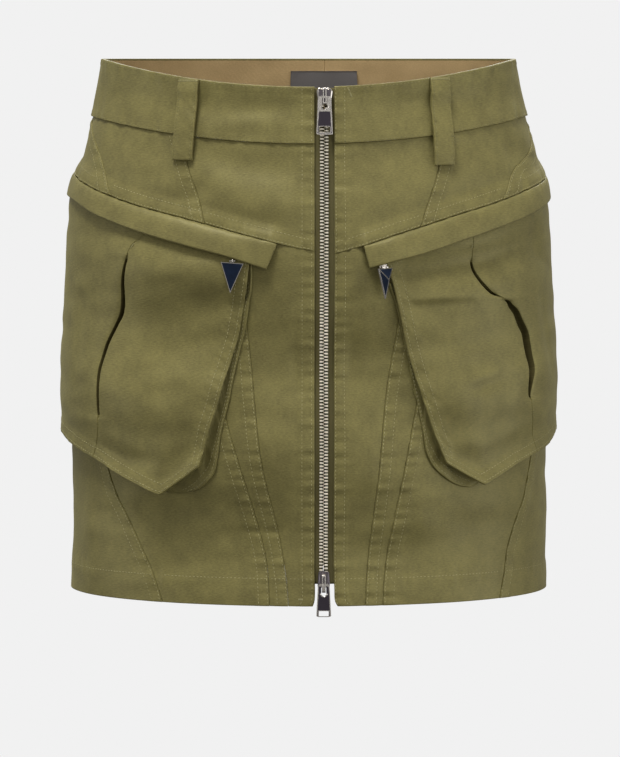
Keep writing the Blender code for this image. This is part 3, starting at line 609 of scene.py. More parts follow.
def make_threads():
    stitch = stitch_template()
    for group, rows in rows_of_thread.items():
        thread = make_copies(f"stitches_{group}", [(*stitch, *row) for row in rows],
                             THREAD_SELF if group in SELF_COLOURED else THREAD)
        close_and_turn(thread.data, STITCH_SIDES)
        enter(thread, None, "skirt")


OUTWARDS = 0.01               # step that shows which way is out of the skirt


def surface_line(surface, angle, height):
    """Points and normals along a line on a panel's face."""
    out = surface(angle, height)
    here = on_form(angle, height, out)
    return here, on_form(angle, height, out + OUTWARDS) - here


# ---- folds of the worn cloth

# Soft folds: angle and height at both ends, half width and rise.
FOLD_UNITS = (1, MM, 1, MM, MM, MM)
FOLDS = table(
    FOLD_UNITS,
    -72, -4, -30, -11, 9, -1.6, -104, -28, -82, -62, 24, -2.6,
    -30, -11, -3, -13.5, 9, -2.3, 14, -13.5, 38, -10, 9, -2.3,
    38, -10, 74, -4, 9, -1.8, -60, -35, -22, -43, 9, -1.3,
    -20, -50, -2, -53, 14, -2.4, 6, -53, 22, -50, 14, -2.4,
    22, -43, 60, -36, 9, -1.3, -12, -106, -1, -112, 34, 4.6,
    7, -124, 14, -130, 34, 5, -5, -188, -1, -188, 24, -4.6,
    7, -186, 13, -188, 24, -6.2, -46, -166, -19, -170, 22, -3.4,
    34, -118, 62, -108, 12, -2.5, -52, -66, -32, -70, 19, -2.6,
    36, -62, 58, -56, 19, -2.8, 95, -100, 140, -85, 20, 3,
    110, -150, 165, -160, 24, -4.2, 100, -235, 150, -250, 24, 4.2,
    120, -300, 170, -305, 22, -3, 80, -300, 95, -285, 18, 1.5,
    -95, -95, -150, -90, 20, 3.2, -105, -165, -170, -150, 24, -4,
    -110, -245, -165, -235, 26, 4, -95, -305, -150, -315, 20, -3,
    -0.6, -116.4, -0.6, -154, 8, -2.1, -17.2, -251.6, -2, -233.5, 30, 6.3,
    -31.8, -309.3, -2, -309.4, 26, -4.8, -40.8, -288, -22.5, -281.8, 14, -2.4,
    -62.9, -283.4, -62.1, -324.7, 18, 3, 7.3, -256.6, 21.9, -257.3, 28, 5.4,
    22.5, -291.4, 32.6, -286.9, 16, 2.7, 27.1, -308.8, 54.5, -299.1, 20, -2.7,
    41.7, -283.3, 61.6, -281.7, 12, 2.1, 8.5, -314.2, 21.9, -318.4, 18, -2.4,
    -52.9, -59.2, -4.4, -78.2, 20, 3.3, 9.8, -80.2, 54.8, -52.5, 20, 3.3,
    -22.5, -89.9, -2, -96.2, 9, -1.4, -43.2, -41.9, -37.4, -53.9, 8, -1.2,
    -28.9, -67.2, -25.4, -69.8, 7, -1.5, 56.1, -42.3, 67.2, -42.7, 10, -1.8)
# Small creases of worn cloth: wavelengths round and down, start, rise.
CREASES = (
    (0.31, 0.027, 0.3, 0.1 * MM),
    (-0.17, 0.019, 1.9, 0.07 * MM),
    (0.12, 0.034, 4.0, 0.1 * MM),
    (-0.09, 0.015, 2.2, 0.04 * MM),
    (0.06, 0.023, 5.1, 0.05 * MM),
    (0.045, -0.05, 0.7, 0.05 * MM),
)
CREASE_DEGREE = 0.0026        # metres a degree, near enough for small waves
RIPPLE_DEGREE = 0.0024
FOLD_ENDS = 0.35              # a fold's rise is this much less at its ends
ZIP_STIFF, ZIP_REACH = 0.7, 0.014
CREASE_PATCHES = (0.11, 0.09)
# Size, wavelength and start of the waves along a seam.
WAVES = ((1.0, 0.0087, 1.0), (0.8, 0.0133, 2.3), (0.6, 0.0059, 4.1))
POCKET_CREASES = 1.4


def lay_folds(rows, angle, height):
    """How far a set of folds moves the cloth out."""
    total = np.zeros(np.broadcast(angle, height).shape)
    for a0, h0, a1, h1, reach, rise in rows:
        scale = metres_per_degree((a0 + a1) / 2, (h0 + h1) / 2)
        along_x, along_y = (a1 - a0) * scale, h1 - h0
        x, y = (angle - a0) * scale, height - h0
        share = np.clip((x * along_x + y * along_y) / (along_x ** 2 + along_y ** 2), 0, 1)
        apart = np.hypot(x - share * along_x, y - share * along_y)
        total += rise * bell(apart, reach) * (1 - FOLD_ENDS * np.abs(2 * share - 1))
    return total


def rumple(angle, height):
    """Uneven small creases, in patches."""
    x = angle * CREASE_DEGREE
    total = sum(rise * np.sin(2 * pi * (x / over + height / down) + start)
                for over, down, start, rise in CREASES)
    over, down = CREASE_PATCHES
    return total * (0.9 + 0.6 * np.sin(2 * pi * x / over + 1) * np.sin(2 * pi * height / down))


def folds(angle, height):
    """Folds of the skirt itself, held flatter by the zip."""
    turn, width, _ = form_at(angle, height)
    stiff = bell(width * np.sin(turn) - ZIP_CENTRE_TOP, ZIP_REACH) * (np.cos(turn) > 0)
    return (lay_folds(FOLDS, angle, height) + rumple(angle, height)) * (1 - ZIP_STIFF * stiff)


def pocket_folds(side, angle, height):
    return (lay_folds(POCKET_FOLDS[side], angle, height)
            + POCKET_CREASES * rumple(angle + 9, height + 0.02))


def ripple(along, seed):
    """Uneven small waves along a seam, between -1 and 1."""
    return sum(size * np.sin(along * 2 * pi / length + start * seed)
               for size, length, start in WAVES) / sum(size for size, *_ in WAVES)


# ---- skirt panels

LAP_ROWS = (0.0011, 0.0074)   # where the two rows of thread lie in from a lapped edge
BAND_ROWS = (0.0017, 0.0013)  # the waistband's rows, in self-coloured thread
ZIP_ROWS = {"right": (0.0021, 0.0085), "left": (0.0009, 0.0070)}
LAP_RISE, LAP_SLOPE = 0.00035, 0.0016
LAP_PAST, LAP_BARE = 0.0012, 0.0030   # how far in a lap ends, past its thread or without any
UNDER_DIP, UNDER_REACH = 0.00025, 0.004
ROW_DIP, ROW_DIP_HALF = 0.00022, 0.0006
PUCKER, PUCKER_REACH = 0.00058, 0.009
ROLL = {"fold": 0.0010, "lap": 0.0006, "under": 0.0006}
INSIDE = {"first": 1, "last": -1, "upper": 1, "lower": -1}
PANEL_GAP = 0.0001
PANEL_STEP = 0.0017           # between the lines of a panel's grid
WRONG_SIDE_ROLL = 0.0005
LINE_POINTS = 160             # points along a row of thread
THREAD_CLEAR = (0.0008, 0.2)  # room kept at a row's ends, in height and in degrees
SETTLE_ROUNDS = 14            # rounds in which angle and height at a place are settled
surfaces = {}


def lean(edge, at, step, scale=1.0):
    """Length along a slanted edge for each unit of length that it would have if it weren't."""
    return np.sqrt(1 + ((edge(at + step) - edge(at - step)) / (2 * step) * scale) ** 2)


def from_edge(where, edge, angle, height):
    """Distance in from a panel's edge: first and last run down it, upper and lower round it."""
    scale = metres_per_degree(angle, height)
    if where in ("first", "last"):
        return INSIDE[where] * (angle - edge(height)) * scale / lean(edge, height, MM, scale)
    return INSIDE[where] * (edge(angle) - height) / lean(edge, angle, 0.5, 1 / scale)


def edge_relief(distance, along, kind, rows, seed):
    """Relief near one edge. A lapped edge is raised over its allowance and pressed in along
    the thread; an edge under a lap is low; a fold is rolled."""
    relief = -rounding(distance, ROLL[kind])
    if kind == "under":
        return relief - UNDER_DIP * bell(distance, UNDER_REACH)
    last = max(rows) + LAP_PAST if rows else LAP_BARE
    relief = relief + LAP_RISE * (1 - smooth_step((distance - last) / LAP_SLOPE))
    for row in rows:
        relief = relief - ROW_DIP * bell(distance - row, ROW_DIP_HALF)
    return relief + PUCKER * ripple(along, seed) * bell(distance, PUCKER_REACH)


START_HEIGHT = -0.1           # where the search for a place between the seams starts
UPRIGHT_ROW, ACROSS_ROW = (0.004, 0.992), (0.003, 0.994)  # start and length in the edge


def make_panel(name, edges, seed, step=PANEL_STEP, wall=CLOTH, out=0.0, materials=None,
               extra_relief=None, turned=0.0):
    """A panel between four seams. edges gives for first, last, upper and lower the seam, what
    the edge is, and where its thread runs."""
    first, last, upper, lower = (edge for edge, _, _ in edges.values())

    def find(across, down):
        angle, height = first(START_HEIGHT) + 0 * across, START_HEIGHT + 0 * across
        for _ in range(SETTLE_ROUNDS):
            gap = PANEL_GAP / 2 / metres_per_degree(angle, height)
            low, high = first(height) + gap, last(height) - gap
            angle = low + (high - low) * across
            top, bottom = upper(angle) - PANEL_GAP / 2, lower(angle) + PANEL_GAP / 2
            height = top + (bottom - top) * down
        return angle, height

    def surface(angle, height):
        total = out + folds(angle, height)
        for where, (edge, kind, rows) in edges.items():
            along = height if where in ("first", "last") else angle * metres_per_degree(
                angle, height)
            total = total + edge_relief(from_edge(where, edge, angle, height), along, kind, rows,
                                        seed)
        return total + extra_relief(angle, height) if extra_relief else total

    ends, thirds = np.meshgrid([0.0, 1.0], [0.0, 0.5, 1.0])
    width = np.abs(np.diff(find(ends, thirds)[0])).max() * RIPPLE_DEGREE
    drop = np.abs(np.diff(find(thirds, ends)[1])).max()
    across, down = np.meshgrid(spaced(width, step), spaced(drop, step))
    angle, height = find(across, down)
    outer = on_form(angle, height, surface(angle, height))
    edge = np.minimum.reduce([from_edge(where, row[0], angle, height)
                              for where, row in edges.items()])
    inner = on_form(angle, height, out - wall + folds(angle, height)
                    + rounding(edge, WRONG_SIDE_ROLL))
    uv = np.stack([angle * metres_per_degree(angle, height), height], axis=-1)
    shell(name, outer, inner, materials or [TWILL, TWILL_BACK], uv, turned=turned)
    surfaces[name] = surface
    t, (clear_height, clear_angle) = np.linspace(0, 1, LINE_POINTS), THREAD_CLEAR
    for where, (edge, _, rows) in edges.items():
        for distance in rows:
            start = 0 * t + (0 if INSIDE[where] > 0 else 1)
            offset = INSIDE[where] * distance
            if where in ("first", "last"):
                angle, height = find(start, UPRIGHT_ROW[0] + UPRIGHT_ROW[1] * t)
                scale = metres_per_degree(angle, height)
                angle = edge(height) + offset * lean(edge, height, MM, scale) / scale
                kept = ((height < upper(angle) - clear_height)
                        & (height > lower(angle) + clear_height))
            else:
                angle, _ = find(ACROSS_ROW[0] + ACROSS_ROW[1] * t, start)
                height = edge(angle) - offset * lean(edge, angle, 0.5,
                                                     1 / metres_per_degree(angle, START_HEIGHT))
                kept = (angle > first(height) + clear_angle) & (angle < last(height)
                                                                - clear_angle)
            if kept.sum() > 3:
                sew("band" if distance in BAND_ROWS else "skirt",
                    *surface_line(surface, angle[kept], height[kept]))


FLAP_FRONT_END = {"right": (-7.2, -9.6), "left": (12.6, 13.9)}
YOKE_FLARE = 0.0030           # the yoke's edge rides over the flap's seam allowance by this
FLARE_REACH = 0.0135
FLARE_FRONT, FLARE_REAR = 3.0, 6.0    # degrees over which it comes and goes
HEM_RELIEF = 0.0003           # how far the hem stands out, its thread sinks and its puckers rise
HEM_START = 0.0003            # from its row of thread
HEM_WIDTHS = (0.0012, 0.0007, 0.006)  # the width of each


def yoke_flare(side):
    sign, yoke, front = SIDES[side], curve(YOKE_SEAM[side]), abs(FLAP_FRONT_END[side][0])

    def relief(angle, height):
        over_flap = smooth_step((sign * angle - front + 2.0) / FLARE_FRONT) * smooth_step(
            (POCKET_REAR + FLARE_REAR - sign * angle) / FLARE_REAR)
        distance = from_edge("lower", yoke, angle, height)
        return YOKE_FLARE * over_flap * (1 - smooth_step(distance / FLARE_REACH))
    return relief


def hem_relief(angle, height):
    """Turned-up hem: raised up to its row of thread."""
    above, (end, sunk, puckered) = height - HEM - HEM_ROW, HEM_WIDTHS
    return HEM_RELIEF * (1 - smooth_step((above - HEM_START) / end) - bell(above, sunk)
                         + ripple(angle * RIPPLE_DEGREE, 2.0) * bell(above, puckered))


SIDE_SEED = 0.37              # keeps the puckers of the two sides apart


def make_panels():
    for side, sign in SIDES.items():
        seams = {
            "zip": zip_edge(side), "slant": curve(SLANT_SEAM[side]),
            "yoke side": curve(YOKE_SIDE_SEAM[side]), "inner": curve(INNER_SEAM[side]),
            "outer": curve(OUTER_SEAM[side]), "side front": curve(SIDE_FRONT_SEAM[side]),
            "band side": at_angle(sign * BAND_SIDE_SEAM),
            "back": at_angle(BACK_SEAM if sign > 0 else BACK_SEAM - 360),
            "top": waist_top, "band": band_seam, "yoke": curve(YOKE_SEAM[side]), "hem": hem,
        }
        kinds = {"fold": ("fold", ZIP_ROWS[side]), "lap": ("lap", LAP_ROWS),
                 "under": ("under", ()), "top": ("fold", BAND_ROWS[:1]),
                 "band": ("lap", BAND_ROWS[1:]), "hem": ("under", (HEM_ROW,))}
        band = {"wall": BAND_CLOTH, "out": BAND_PROUD, "materials": [TWILL, FACING]}
        flare, turned_up = {"extra_relief": yoke_flare(side)}, {"extra_relief": hem_relief}
        # Name, seams and kinds of the near, far, upper and lower edge, anything more.
        for name, near, far, upper, lower, edge_kinds, more in (
                ("waistband_front", "zip", "band side", "top", "band", "fold under top band",
                 band),
                ("waistband_back", "band side", "back", "top", "band", "under under top band",
                 {**band, "step": 0.0024, "turned": 0.0014}),
                ("yoke_front", "zip", "slant", "band", "yoke", "fold under under lap", flare),
                ("yoke_side", "slant", "yoke side", "band", "yoke", "lap under under lap", flare),
                ("yoke_back", "yoke side", "back", "band", "yoke", "lap under under lap",
                 {**flare, "step": 0.0022}),
                ("front_centre", "zip", "inner", "yoke", "hem", "fold under under hem",
                 turned_up),
                ("front_wedge", "inner", "outer", "yoke", "hem", "lap under under hem",
                 turned_up),
                ("front_side", "outer", "side front", "yoke", "hem", "lap under under hem",
                 turned_up),
                ("back", "side front", "back", "yoke", "hem",
                 "lap under under hem" if sign > 0 else "lap lap under hem",
                 {**turned_up, "step": 0.0026})):
            edges = [(seams[seam], *kinds[kind])
                     for seam, kind in zip((near, far, upper, lower), edge_kinds.split())]
            if sign < 0:
                edges[:2] = edges[1::-1]
            make_panel(f"{name}_{side}", dict(zip(INSIDE, edges)), 1.0 + sign * SIDE_SEED, **more)


# ---- patches laid on the skirt

HEM_RISE, HEM_SLOPE = 0.00035, 0.0014
PATCH_PUCKER, PATCH_REACH = 0.0003, 0.004
PATCH_FOLLOW = 0.0005         # how far the wrong side follows a rise of the face


def edge_reach(points):
    """Distance of each grid point from the patch's four edges, measured along the grid."""
    left = np.cumsum(np.linalg.norm(np.diff(points, axis=1), axis=-1), axis=1)
    top = np.cumsum(np.linalg.norm(np.diff(points, axis=0), axis=-1), axis=0)
    left, top = np.pad(left, ((0, 0), (1, 0))), np.pad(top, ((1, 0), (0, 0)))
    return {"left": left, "right": left[:, -1:] - left, "top": top, "bottom": top[-1:] - top}


def grid_normals(points):
    """Normals of a grid, pointing away from the middle of the skirt."""
    normal = unit(np.cross(np.gradient(points, axis=1), np.gradient(points, axis=0)))
    outwards = (normal[..., :2] * points[..., :2]).sum(axis=-1).mean()
    return normal if outwards > 0 else -normal


def line_in_grid(points, normals, reach, where, distance, start=0.0, end=1.0):
    """Points and normals of the line that runs a distance in from one edge of a grid."""
    upright = where in ("left", "right")
    lines = reach[where] if upright else reach[where].T
    line = []
    for k in range(int(len(lines) * start), int(len(lines) * end)):
        order = np.argsort(lines[k])
        line.append([[np.interp(distance, lines[k][order], (
            grid[k] if upright else grid[:, k])[order][:, c]) for c in range(3)]
            for grid in (points, normals)])
    return np.array(line).swapaxes(0, 1)


def plain_edges(roll, **others):
    """The edges of a patch: rolls without thread, apart from those given."""
    return {where: others.get(where, (roll, (), 0)) for where in ("left", "right", "top",
                                                                  "bottom")}


def patch(name, place, columns, rows, wall, edges, relief, materials=None, group="patches",
          slot="twill", inner_roll=0.0004):
    """Cloth laid over the form. edges gives for each side its roll, its rows of thread with
    the shares of the side between which they run, and the width of its raised hem."""
    across, down = np.meshgrid(columns, rows)
    angle, height, out = place(across, down)
    base = on_form(angle, height, out)
    reach = edge_reach(base)
    lift = np.zeros(across.shape)
    for where, (roll, threads, hem_width) in edges.items():
        lift -= rounding(reach[where], roll)
        if hem_width:
            lift += HEM_RISE * (1 - smooth_step((reach[where] - hem_width) / HEM_SLOPE))
        for distance, *_ in threads:
            beside = reach[where] - distance
            lift += (PATCH_PUCKER * ripple(height + angle * RIPPLE_DEGREE, 1 + distance * 300)
                     * bell(beside, PATCH_REACH) - ROW_DIP * bell(beside, ROW_DIP_HALF))
    lift += relief(angle, height, reach, across, down)
    normals = grid_normals(base)
    outer = base + normals * lift[..., None]
    nearest = np.minimum.reduce(list(reach.values()))
    deep = np.minimum(lift, PATCH_FOLLOW) - wall + rounding(nearest, inner_roll)
    uv = np.stack([angle * metres_per_degree(angle, height), height], axis=-1)
    shell(name, outer, base + normals * deep[..., None], materials or [TWILL, TWILL_BACK], uv)
    fine = grid_normals(outer)
    for where, (_, threads, _) in edges.items():
        for thread in threads:
            sew(group, *line_in_grid(outer, fine, reach, where, *thread))
    return outer, fine, reach


# ---- belt loops and label

# Angle at the upper and lower end, height of the lower end.
LOOPS = {
    "belt_loop_front_right": (-33.4, -32.1, -0.0485),
    "belt_loop_front_left": (37.2, 34.6, -0.052),
    "belt_loop_side_back_right": (-128.0, -128.0, -0.033),
    "belt_loop_side_back_left": (128.0, 128.0, -0.033),
    "belt_loop_back": (175.4, 175.4, -0.033),
}
LOOP_WIDTH, LOOP_CLOTH = 0.0148, 0.0016
LOOP_END_STAND, LOOP_STAND = 0.0032, 0.0056
LOOP_RISE = 5
LOOP_BULGE = 0.0004
LOOP_ROLL = 0.0007
LOOP_ROW, LOOP_BARS = (0.0018, 0.03, 0.97), (0.0016, 0.0020)
LOOP_STEPS = (0.0012, 0.0014)
# Bars of close stitches on the panels: panel, and angle and height of both ends.
PANEL_TACKS = (
    ("waistband_front_left", 10.3, 0.0006, 11.3, -0.0056),
    ("front_centre_right", -2.4, -0.3442, -1.3, -0.3442),
)
LOOP_DROP, LOOP_BAR_SPAN = 0.0004, (0.1, 0.92)
TACK_APART, TACK_PROUD = 0.0004, 0.0003
LABEL_SIDES, LABEL_TOP, LABEL_SIZE = (166.0, 185.2), 0.0110, (0.045, 0.022)
LABEL_OUT, LABEL_CLOTH, LABEL_STEP, LABEL_ROLL = -0.0029, 0.0008, 0.0014, 0.0003
LABEL_WAVE, LABEL_WAVES, LABEL_PHASE = 0.0002, 3.5, 0.6


def make_belt_loops():
    for name, (upper_angle, lower_angle, lower_height) in LOOPS.items():
        def place(across, down):
            angle = upper_angle + (lower_angle - upper_angle) * down
            top = waist_top(angle) - LOOP_DROP
            height = top + (lower_height - top) * down
            rise = np.minimum(1.0, LOOP_RISE * np.minimum(down, 1 - down))
            stand = LOOP_END_STAND + (LOOP_STAND - LOOP_END_STAND) * np.sin(rise * pi / 2)
            return (angle + (across - 0.5) * LOOP_WIDTH / metres_per_degree(angle, height),
                    height, stand + folds(angle, height))

        def relief(angle, height, reach, across, down):
            return LOOP_BULGE * (np.sin(pi * across)
                                 + np.sin(3 * pi * down + upper_angle) * np.sin(pi * down))

        side_edge = (LOOP_ROLL, (LOOP_ROW,), 0)
        size = LOOP_WIDTH, waist_top(upper_angle) - lower_height
        made = patch(name, place, *map(spaced, size, LOOP_STEPS), LOOP_CLOTH,
                     plain_edges(LOOP_ROLL, left=side_edge, right=side_edge), relief,
                     group="loops")
        for distance in LOOP_BARS:
            sew_bar(*line_in_grid(*made, "top", distance, *LOOP_BAR_SPAN))


def make_panel_tacks():
    for name, angle0, height0, angle1, height1 in PANEL_TACKS:
        share, upright = np.linspace(0, 1, 8), abs(height1 - height0) > MM
        for shift in (-TACK_APART, 0.0, TACK_APART):
            angle = angle0 + (angle1 - angle0) * share + (shift / CREASE_DEGREE if upright else 0)
            height = height0 + (height1 - height0) * share + (0 if upright else shift)
            sew_bar(*surface_line(surfaces[name], angle, height))


def make_label():
    """Blank damask label, sewn in at the middle of the back."""
    def place(across, down):
        return (LABEL_SIDES[0] + (LABEL_SIDES[1] - LABEL_SIDES[0]) * across,
                LABEL_TOP - LABEL_SIZE[1] * down, LABEL_OUT + 0 * across)

    def relief(angle, height, reach, across, down):
        return -LABEL_WAVE * np.sin(LABEL_WAVES * pi * across + LABEL_PHASE) * np.sin(pi * down)

    patch("label", place, *(spaced(size, LABEL_STEP) for size in LABEL_SIZE), -LABEL_CLOTH,
          plain_edges(LABEL_ROLL), relief, materials=[LABEL, LABEL], slot="label", inner_roll=0.0)


# ---- cargo pockets

POCKET_FRONT_EDGE = {
    "right": table(HEIGHT_ANGLE,
        -105, -13, -120.3, -13.8, -132.4, -14.3, -148.5, -15.4, -164.6, -16.4, -180.8, -18,
        -197, -19.6, -213.2, -21, -229.4, -22.8, -254.5, -25.1),
    "left": table(HEIGHT_ANGLE,
        -100, 15.4, -118, 18.3, -128.5, 19.4, -135.2, 20, -151.4, 21.3, -167.6, 22.5,
        -183.8, 23.9, -200, 25.7, -216.3, 27.6, -232.6, 29.6, -253, 32.6),
}
POCKET_PLEAT = {
    "right": table(HEIGHT_ANGLE,
        -85, -41, -98.8, -41.6, -105.8, -44.6, -112.5, -45.8, -119.4, -46.9, -133.1, -48.1,
        -146.7, -48.6, -153.6, -49.4, -160.5, -51, -174.4, -53.6, -188.2, -54.8, -202, -54.9,
        -215.5, -55.1, -229.2, -55.2, -247, -57.2),
    "left": table(HEIGHT_ANGLE,
        -85, 41, -108, 41.7, -117.5, 42, -123.6, 42.3, -130.5, 43.7, -135.4, 45.4, -139, 47.2,
        -141.9, 50, -144.9, 53, -147.9, 54.4, -152.9, 56.7, -159.9, 58.5, -167, 60.2,
        -173.9, 60.4, -180.8, 60.6, -190.4, 60.9, -201.2, 60.1, -210.8, 59.7, -227.6, 61.1,
        -241.7, 62.9),
}
POCKET_LOWER_EDGE = {
    "right": table(ANGLE_HEIGHT,
        -25, -254.1, -35.5, -274.9, -43.9, -266.7, -56.6, -254, -69, -246, -80, -240.5,
        -106, -237),
    "left": table(ANGLE_HEIGHT,
        32.7, -253.1, 42.9, -268.7, 54.5, -256.5, 63.4, -250.5, 72, -246, 82, -238.5, 106, -235),
}
POCKET_TOP_COVER, POCKET_CLOTH = 0.0062, 0.0012
POCKET_SIZE, POCKET_STEP = (0.150, 0.165), 0.0015
FRONT_HELD = 0.16             # share of the face over which it still follows the skirt's folds
PLEAT_PLACE = 9 / 16          # where across the face the pleat lies
# How far the face stands out: share down it, then at each of the places across it.
POCKET_STAND = table(
    (1, MM, MM, MM, MM, MM),
    0, 2.4, 2.4, 2.4, 2, 2, 0.065, 3.8, 5.2, 5.4, 3.4, 3,
    0.15, 4.8, 7.6, 7.6, 4.6, 4, 0.23, 5.4, 8.6, 8.4, 5.4, 4.6,
    0.35, 5.4, 7, 7.2, 6, 5, 0.48, 5.8, 6.2, 7.2, 6.8, 5.6,
    0.6, 7, 10.4, 10.8, 8, 6.4, 0.7, 8.4, 13.6, 13.6, 9, 7,
    0.85, 9.8, 13.4, 12.2, 9, 7.3, 0.94, 10.2, 11.4, 9.4, 8, 6.8,
    1, 11.2, 12.8, 10, 8, 6.6)
STAND_PLACES = np.array((0.0, 0.1875, 0.5625, 0.78, 1.0))

# How wide the pleat stands open: height, width.
PLEAT_OPEN = {
    "right": table((MM, MM),
        -85, 0, -112, 0, -118, 0.8, -126, 1.3, -135, 1.8, -147, 2.5, -154, 2.1, -160, 1.6,
        -180, 1.6, -205, 1.2, -221.5, 0.8, -226, 0, -270, 0),
    "left": table((MM, MM),
        -85, 0, -114.8, 0, -118.2, 0.7, -126.4, 1.3, -135.4, 1.2, -140.5, 0.4, -143.4, 0,
        -146.4, 1.8, -151.5, 4, -164.2, 6.2, -172.5, 6.6, -186.3, 5.6, -195.8, 4.2, -203.9, 2.4,
        -210.8, 0.6, -213.6, 0, -270, 0),
}
PLEAT_DEPTH, PLEAT_WALL = 0.0080, 0.0001
PLEAT_FLAT = 0.0003           # the pleat's depth where it is shut
PLEAT_FLOOR = 0.0016          # how far its floor stays off the skirt
PLEAT_OPENS = 0.0006          # width by which the pleat counts as open
PLEAT_DRAWN = 0.006           # reach of the columns that are drawn apart
PLEAT_LIPS = (0.0004, 0.0010, 0.0018)  # the lips' rise, place and half width
PLEAT_SINKS = (0.0016, 0.0035)         # how far the cloth beside the lips sinks, and its reach
PLEAT_LIP = 0.0006            # half width of the cloth that turns into the pleat
# Height and number of stitches of the bars that hold the pleat shut above and below.
PLEAT_TACKS = {"right": ((-0.1060, 4), (-0.2240, 5)), "left": ((-0.1080, 4), (-0.2136, 5))}
PLEAT_TACK_LENGTH, TACK_WAY = 0.0040, (1, 0, 0.25)
PLEAT_LINES = (0.0003, PLEAT_LIP - PLEAT_WALL, PLEAT_LIP - PLEAT_WALL / 2, PLEAT_LIP,
               0.0008, 0.0010, 0.0013, 0.0017, 0.0022, 0.0028)
# Rows of thread: distance in, and the shares of the edge between which they run.
POCKET_FRONT_ROWS = ((0.0024, 0.07, 0.985), (0.0077, 0.07, 0.955))
POCKET_LOWER_ROWS = ((0.0022, 0.02, 0.98), (0.0077, 0.03, 0.95))
POCKET_HEM = 0.0088
POCKET_FOLDS = {
    "right": table(FOLD_UNITS,
        -44, -164, -24, -168, 26, -4.4, -46, -118, -20, -123, 16, 2.6,
        -34, -144, -20, -147, 13, -1.6, -24, -144, -14, -140, 12, -2,
        -52, -248, -31, -256, 9, -2.4, -46.3, -187.4, -21, -192, 20, 1.6,
        -49.5, -233.4, -26.9, -236.2, 16, -2.6, -18.3, -145.7, -14.8, -145, 4, -1.2,
        -65.7, -145.4, -64.7, -200.3, 9, -1, -40.4, -176.7, -24.6, -162, 8, 0.8,
        -34.5, -206.4, -20.9, -189.9, 8, -0.8),
    "left": table(FOLD_UNITS,
        24, -125, 68, -106, 11, -6, 44, -208, 56, -185, 12, -1.2, 36, -254, 58, -244, 10, -1.8,
        24.3, -141.9, 40.8, -140.5, 2.5, 0.6, 24.3, -145.9, 40.8, -144.5, 3, -0.6,
        27.6, -172.2, 44, -170.2, 18, 1.6, 39.1, -198.8, 47.8, -193.7, 3.5, 0.8,
        39.6, -202.9, 47.9, -197.7, 4.5, -0.8, 33, -233, 54, -225, 20, -3.8,
        20.9, -164.6, 21.6, -166.7, 4, -0.9, 67.6, -114, 78.8, -123.4, 3.5, -0.8,
        49.3, -225.3, 51.6, -198.3, 9, -1.4, 70.2, -145.9, 72.7, -194.7, 5, -0.8),
}


def stand_of_face(across, down):
    """How far a pocket face stands out, smooth across its five upright lines."""
    across, down = np.broadcast_arrays(across, down)
    levels = np.array([curve(POCKET_STAND, column)(down) for column in range(1, 6)])
    slope = slopes(STAND_PLACES, levels)
    i, span, t = spans(STAND_PLACES, across)

    def at(values, row):
        return np.take_along_axis(values, row[None], axis=0)[0]
    return ease(span, t, at(levels, i), at(levels, i + 1), at(slope, i), at(slope, i + 1))


POCKET_SEARCH = -0.2          # height at which the search for a place on a face starts


def pocket_place(side):
    """Place on a pocket's face: across and down to angle, height and distance out."""
    front_edge, pleat = curve(POCKET_FRONT_EDGE[side]), curve(POCKET_PLEAT[side])
    lower, yoke = level(POCKET_LOWER_EDGE[side]), curve(YOKE_SEAM[side])

    def place(across, down):
        height = POCKET_SEARCH + 0 * across
        for _ in range(SETTLE_ROUNDS):
            near, fold = front_edge(height), pleat(height)
            share = np.clip((across - PLEAT_PLACE) / (1 - PLEAT_PLACE), 0, 1)
            angle = np.where(across <= PLEAT_PLACE, near + (fold - near) * across / PLEAT_PLACE,
                             fold + (SIDES[side] * POCKET_REAR - fold) * share)
            top = yoke(angle) - POCKET_TOP_COVER
            height = top + (lower(angle) - top) * down
        return (angle, height, stand_of_face(across, down) + pocket_folds(side, angle, height)
                + folds(angle, height) * np.exp(-across / FRONT_HELD))
    return place


# Faces within the first value past the pleat's lip, where the pleat stands open, get painted
# shade.
PLEAT_SHADED, PLEAT_SHUT = 0.00002, 0.0002  # past its lip, and a gap seen as shut
PLEAT_TACK_OUT = 0.008
POCKET_ROLL, POCKET_REAR_ROLL, POCKET_TOP_ROLL = 0.0007, 0.0005, 0.0003
NOT_ZERO = 1e-7


